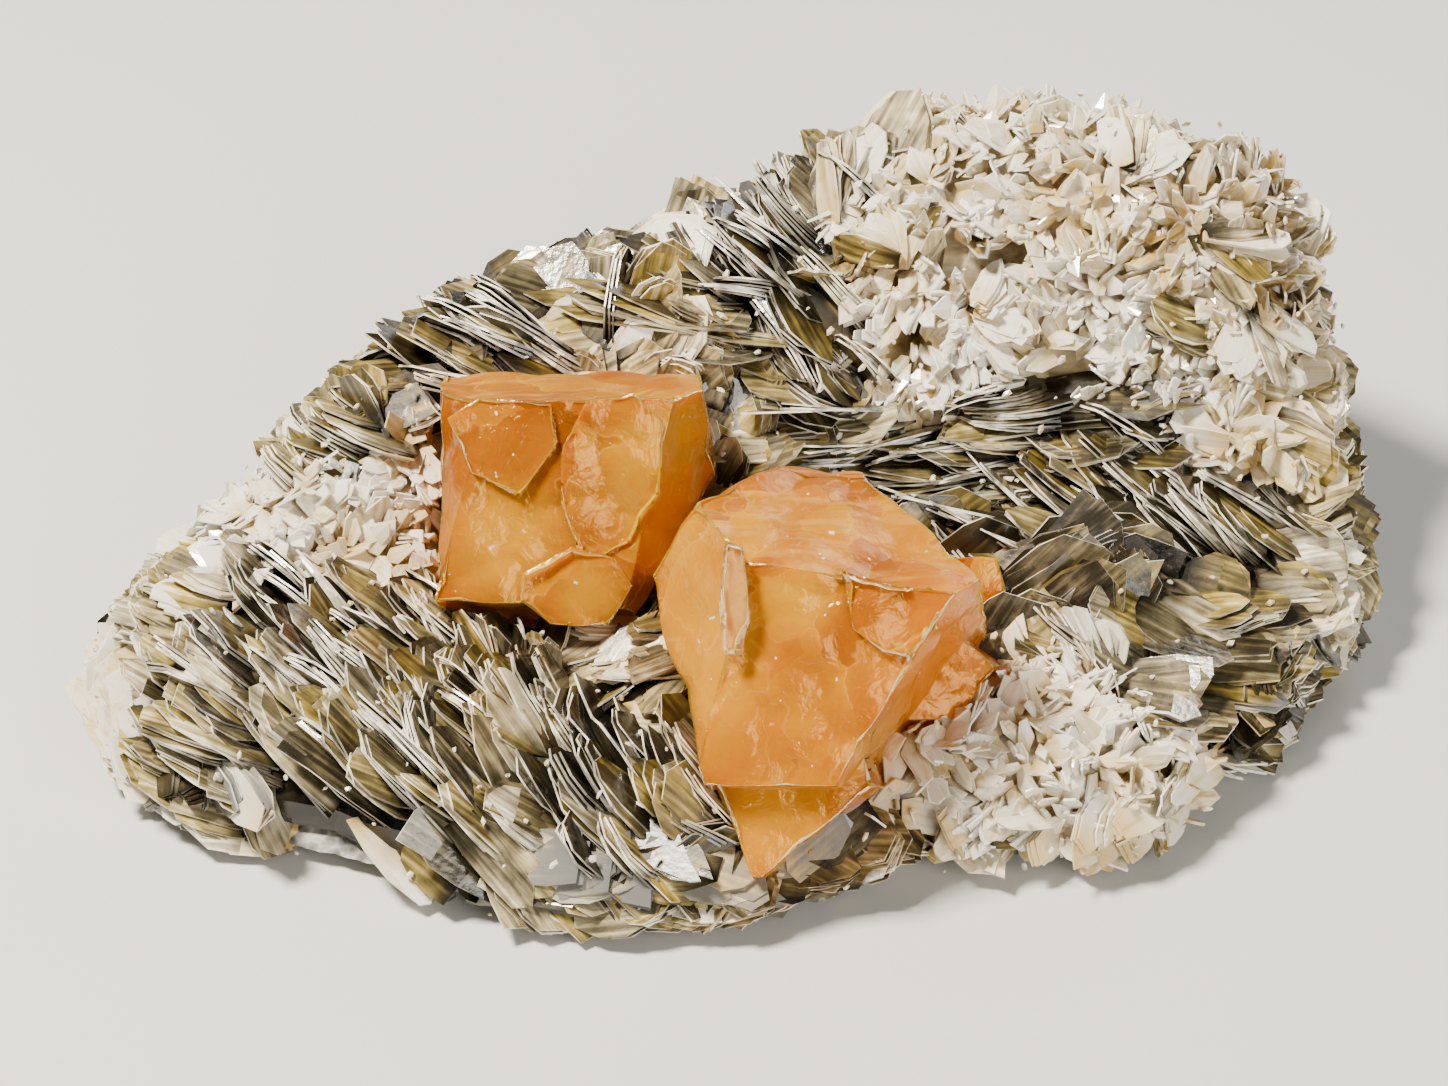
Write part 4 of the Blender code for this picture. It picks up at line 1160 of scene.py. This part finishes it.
def scheelite_material():
    """Scheelite crystal: glossy orange that light enters deeply. Healed cracks part it into
    paler and deeper zones, pale veils follow the cracks, and the top faces are streaked."""
    material, tree = new_material("scheelite_crystal")
    place = add(tree, "ShaderNodeTexCoord")
    frost, deep, bright, pale = (
        add(tree, ATTRIBUTE, attribute_name=a) for a in ("frost", "deep", "bright", "pale")
    )
    warp = add(tree, NOISE, {"Vector": (place, "Object"), "Scale": 1 / (5 * MM), "Detail": 3.0})
    shift = add(tree, VECTOR_MATH, ((warp, "Color"), (0.5, 0.5, 0.5)), operation="SUBTRACT")
    bent = add(tree, VECTOR_MATH, {0: (shift, 0), "Scale": 7 * MM}, operation="SCALE")
    moved = add(tree, VECTOR_MATH, ((place, "Object"), (bent, 0)), operation="ADD")
    cell = add(tree, VORONOI, {"Vector": (moved, 0), "Scale": 1 / (8 * MM)})
    crack = add(tree, VORONOI, {"Vector": (moved, 0), "Scale": 1 / (8 * MM)}, feature="DISTANCE_TO_EDGE")
    cell_tone = add(tree, "ShaderNodeSeparateColor", {"Color": (cell, "Color")})
    zone = add(tree, NOISE, {
        "Vector": (place, "Object"), "Scale": 1 / (8 * MM), "Detail": 5.0, "Distortion": 1.0,
    })
    tone = add(tree, MIX, {0: 0.4, 2: (zone, "Fac"), 3: (cell_tone, "Red")}, data_type="FLOAT")
    body = add(tree, RAMP, {"Fac": (tone, 0)}, (
        (0.22, "#884400"), (0.38, "#A45A00"), (0.5, "#B26A00"), (0.62, "#BE7C00"), (0.8, "#CC9400"),
    ))
    lightened = add(tree, MIX, {0: (bright, "Fac"), 6: (body, "Color"), 7: "#DAA000"}, data_type="RGBA")
    deepened = add(tree, MIX, {0: (deep, "Fac"), 6: (lightened, 2), 7: "#DC7E00"}, data_type="RGBA")
    crack_line = add(tree, MAP_RANGE, ((crack, "Distance"), 0.0, 0.025, 0.7, 0.0))
    healed = add(tree, MAP_RANGE, ((zone, "Fac"), 0.42, 0.6, 0.0, 0.6))
    veil = add(tree, MATH, ((crack_line, 0), (healed, 0)), operation="MULTIPLY")
    veiled = add(tree, MIX, {0: (veil, 0), 6: (deepened, 2), 7: "#F2B248"}, data_type="RGBA")
    along = add(tree, "ShaderNodeMapping", {
        "Vector": (place, "Object"), "Rotation": (0, math.radians(-25), math.radians(20)),
        "Scale": (0.14, 1, 1),
    })
    scratch = add(tree, NOISE, {"Vector": (along, "Vector"), "Scale": 1 / (1.1 * MM), "Detail": 5.0})
    streak = add(tree, MAP_RANGE, ((scratch, "Fac"), 0.5, 0.72, 0.0, 0.8))
    streaky = add(tree, MATH, ((frost, "Fac"), (streak, 0)), operation="MULTIPLY")
    streaked = add(tree, MIX, {0: (streaky, 0), 6: (veiled, 2), 7: "#F0B85E"}, data_type="RGBA")
    speck = add(tree, NOISE, {"Vector": (place, "Object"), "Scale": 1 / (1.1 * MM), "Detail": 2.0})
    fleck = add(tree, MAP_RANGE, ((speck, "Fac"), 0.73, 0.76, 0.0, 0.9))
    flecked = add(tree, MIX, {0: (fleck, 0), 6: (streaked, 2), 7: "#FFF4E2"}, data_type="RGBA")
    finished = add(tree, MIX, {0: (pale, "Fac"), 6: (flecked, 2), 7: "#F2BC70"}, data_type="RGBA")
    rough = add(tree, MAP_RANGE, ((frost, "Fac"), 0.0, 1.0, 0.16, 0.5))
    ripple = add(tree, NOISE, {"Vector": (moved, 0), "Scale": 1 / (3 * MM), "Detail": 6.0})
    bump = add(tree, BUMP, {"Height": (ripple, "Fac"), "Strength": 0.7, "Distance": 0.6 * MM})
    finish_material(tree, {
        "Base Color": (finished, 2), "Roughness": (rough, 0), "IOR": 1.92, "Normal": (bump, 0),
        "Specular IOR Level": 0.4, "Specular Tint": "#FFC070", "Subsurface Weight": 0.7,
        "Subsurface Radius": (1.0, 0.5, 0.05), "Subsurface Scale": 3 * MM, "Transmission Weight": 0.35,
    })
    return material


def rock_material():
    """Quartz and fine mica rock: sugary grey with pale glints."""
    material, tree = new_material("quartz_mica_rock")
    place = add(tree, "ShaderNodeTexCoord")
    grain = add(tree, VORONOI, {"Vector": (place, "Object"), "Scale": 1 / (0.9 * MM)})
    cloud = add(tree, NOISE, {"Vector": (place, "Object"), "Scale": 1 / (6 * MM), "Detail": 6.0})
    mixed = add(tree, MIX, {0: 0.45, 2: (cloud, "Fac"), 3: (grain, "Distance")}, data_type="FLOAT")
    body = add(tree, RAMP, {"Fac": (mixed, 0)}, (
        (0.2, "#3C3A35"), (0.45, "#76746D"), (0.7, "#AAA79E"), (0.9, "#DEDBD2"),
    ))
    bump = add(tree, BUMP, {"Height": (grain, "Distance"), "Strength": 0.6, "Distance": 0.4 * MM})
    finish_material(tree, {
        "Base Color": (body, "Color"), "Roughness": 0.5, "IOR": 1.54, "Normal": (bump, 0),
    })
    return material


# Crystals and rock, from their solids.

def solid_copy(name):
    bm = bmesh.new()
    bm.from_mesh(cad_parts[name].data)
    bmesh.ops.remove_doubles(bm, verts=bm.verts, dist=WELD)
    return bm


def refined(bm, longest, rounds, low=-math.inf):
    """Splits the edges that rise above this height until none is longer than this many
    millimetres."""
    for _ in range(rounds):
        long_edges = [
            e for e in bm.edges
            if max(v.co.z for v in e.verts) > low + SAME_HEIGHT and e.calc_length() > longest * MM
        ]
        if not long_edges:
            break
        bmesh.ops.subdivide_edges(bm, edges=long_edges, cuts=1)
        bmesh.ops.triangulate(bm, faces=[f for f in bm.faces if len(f.verts) > 3])
    bm.normal_update()


def finished_piece(bm, name, material, sharp):
    mesh = bpy.data.meshes.new(name + "_fine")
    bm.to_mesh(mesh)
    bm.free()
    mesh.shade_smooth()
    mesh.set_sharp_from_angle(angle=math.radians(sharp))
    stand_in(name, mesh, (material,))


def chipped(point):
    """Depth of the shell-like chips of a broken face, in millimetres."""
    warp = Vector([noise.noise(point / CHIP_WARP_SIZE + shift) for shift in CHIP_SHIFTS]) * CHIP_WARP
    near = noise.voronoi((point + warp) / CHIP_SIZE)[0][0]
    return CHIP_DEPTH * near * near


def crystal_piece(name, material):
    """A crystal from its solid, with worn edges and shallow chips on its faces."""
    bm = solid_copy(name)
    bmesh.ops.dissolve_limit(bm, angle_limit=math.radians(1), verts=bm.verts, edges=bm.edges)
    front = max(bm.faces, key=lambda f: f.calc_area() * f.normal.dot(OUT))
    front_place, front_normal = front.calc_center_median() / MM, front.normal.copy()
    worn = [e for e in bm.edges if e.is_manifold and e.calc_face_angle(0) > math.radians(WORN_ANGLE)]
    bmesh.ops.bevel(bm, geom=worn, offset=WORN_EDGE * MM, offset_type="OFFSET", segments=2, profile=0.5,
                    affect="EDGES", clamp_overlap=True, material=-1)
    bmesh.ops.triangulate(bm, faces=bm.faces)
    refined(bm, CRYSTAL_GRID, 7)
    frost, deep, bright, pale = (
        bm.verts.layers.float.new(layer) for layer in ("frost", "deep", "bright", "pale")
    )
    for v, normal in [(v, v.normal.copy()) for v in bm.verts]:
        p = v.co / MM
        ripple = RIPPLE_DEPTH * noise.noise(p / RIPPLE_SIZE)
        v.co += normal * ((FACE_RAISE - chipped(p) + ripple) * MM)
        right, up = shown_at(p - CENTRING)
        corner = faded(oval_distance(right, up, DEEP_CORNER), *DEEP_FADE)
        raised = faded((p - front_place).dot(front_normal), *PALE_RAISED)
        v[frost] = FROST_STRENGTH * faded(normal.dot(FROST_SIDE), *FROST_TURN) * (1 - corner)
        v[pale] = PALE_STRENGTH * faded(oval_distance(right, up, PALE_PRISM), *PALE_FADE) * raised
        v[bright] = GOLDEN_STRENGTH * faded(oval_distance(right, up, GOLDEN), *GOLDEN_FADE)
        v[deep] = clamped(corner + DEEPENING_STRENGTH * faded(up, *DEEPENING))
    finished_piece(bm, name, material, CRYSTAL_SHARP_ANGLE)


def rock_piece(name, material):
    """The rock from its solid, rough all over but for the flat cut that it rests on."""
    bm = solid_copy(name)
    low = min(v.co.z for v in bm.verts)
    refined(bm, ROCK_GRID, 4, low)
    for v, normal in [(v, v.normal.copy()) for v in bm.verts]:
        p = v.co / MM
        if p.z > low / MM + ROCK_FOOT:
            sideways = Vector((normal.x, normal.y, normal.z * ROCK_FLATNESS))
            grain = ROCK_GRAIN_DEPTH * noise.noise(p / ROCK_GRAIN)
            v.co += sideways * ((grain - ROCK_SINK) * MM)
    finished_piece(bm, name, material, ROCK_SHARP_ANGLE)


# The scene.

def area_light(name, place, size, power, colour="#FFFFFF"):
    """A round studio light that points at the specimen."""
    data = bpy.data.lights.new(name, "AREA")
    data.shape = "DISK"
    data.size = size
    data.energy = power
    data.color = linear(colour)[:3]
    light = bpy.data.objects.new(name, data)
    light.location = place
    light.rotation_euler = (SHOW_POINT * MM - Vector(place)).to_track_quat("-Z", "Y").to_euler()
    bpy.context.scene.collection.objects.link(light)


def studio_floor():
    bm = bmesh.new()
    bmesh.ops.create_grid(bm, x_segments=1, y_segments=1, size=FLOOR_REACH)
    mesh = bpy.data.meshes.new("studio_floor")
    bm.to_mesh(mesh)
    bm.free()
    material, tree = new_material("studio_paper")
    finish_material(tree, {"Base Color": "#C2C1BE", "Roughness": 0.7})
    mesh.materials.append(material)
    floor = bpy.data.objects.new("studio_floor", mesh)
    bpy.context.scene.collection.objects.link(floor)


CREAM_STOPS = (
    (0.0, "#3A3018"), (0.3, "#A0864A"), (0.5, "#CDB478"), (0.64, "#DECB96"), (0.78, "#F0E2B8"),
    (0.94, "#FFF9E6"),
)
OLIVE_STOPS = (
    (0.0, "#0C0904"), (0.3, "#2E260E"), (0.5, "#5C4F20"), (0.64, "#8C7937"), (0.79, "#BAA560"),
    (0.91, "#E8DAB0"), (1.0, "#FCF5E0"),
)
olive = muscovite("muscovite_olive", OLIVE_STOPS, "#2C2416", "#FFF8E6", pale_rim_and_highlight_weight=0.9,
                  roughness=0.24, honey=0.25, transmission=0.12)
cream = muscovite("muscovite_cream", CREAM_STOPS, "#EAD4A4", "#FFFFFC", pale_rim_and_highlight_weight=0.95,
                  roughness=0.14, honey=0.6, transmission=0.3)

rock_piece("matrix_base", rock_material())
scheelite = scheelite_material()
for crystal in CRYSTALS:
    crystal_piece(crystal, scheelite)

ground_points, ground_normals = ground_samples(np.random.default_rng(GROUND_SEED), GROUND_SAMPLES)
for name in SITES:
    mica_piece(name, ground_points, ground_normals, (olive, cream))

# Metres from here on.
FLOOR_REACH = 3
CAMERA_DISTANCE = 0.4022
studio_floor()
area_light("key_light", (-0.27, -0.05, 0.58), 0.14, 15.5, "#FFF6E8")
area_light("fill_light", (0.4, -0.55, 0.3), 0.5, 5.4, "#FFFBF2")
area_light("back_light", (0.3, 0.5, 0.3), 0.3, 1.6)
world = bpy.data.worlds.new("studio")
bpy.context.scene.world = world
world.use_nodes = True
world.node_tree.nodes["Background"].inputs["Color"].default_value = linear("#F2F1EE")
world.node_tree.nodes["Background"].inputs["Strength"].default_value = 0.11

camera_data = bpy.data.cameras.new("camera")
camera_data.lens = 100
camera_data.sensor_width = 36
camera = bpy.data.objects.new("camera", camera_data)
camera.location = (SHOW_POINT + CENTRING) * MM + OUT * CAMERA_DISTANCE
camera.rotation_euler = (-OUT).to_track_quat("-Z", "Y").to_euler()
bpy.context.scene.collection.objects.link(camera)
bpy.context.scene.camera = camera
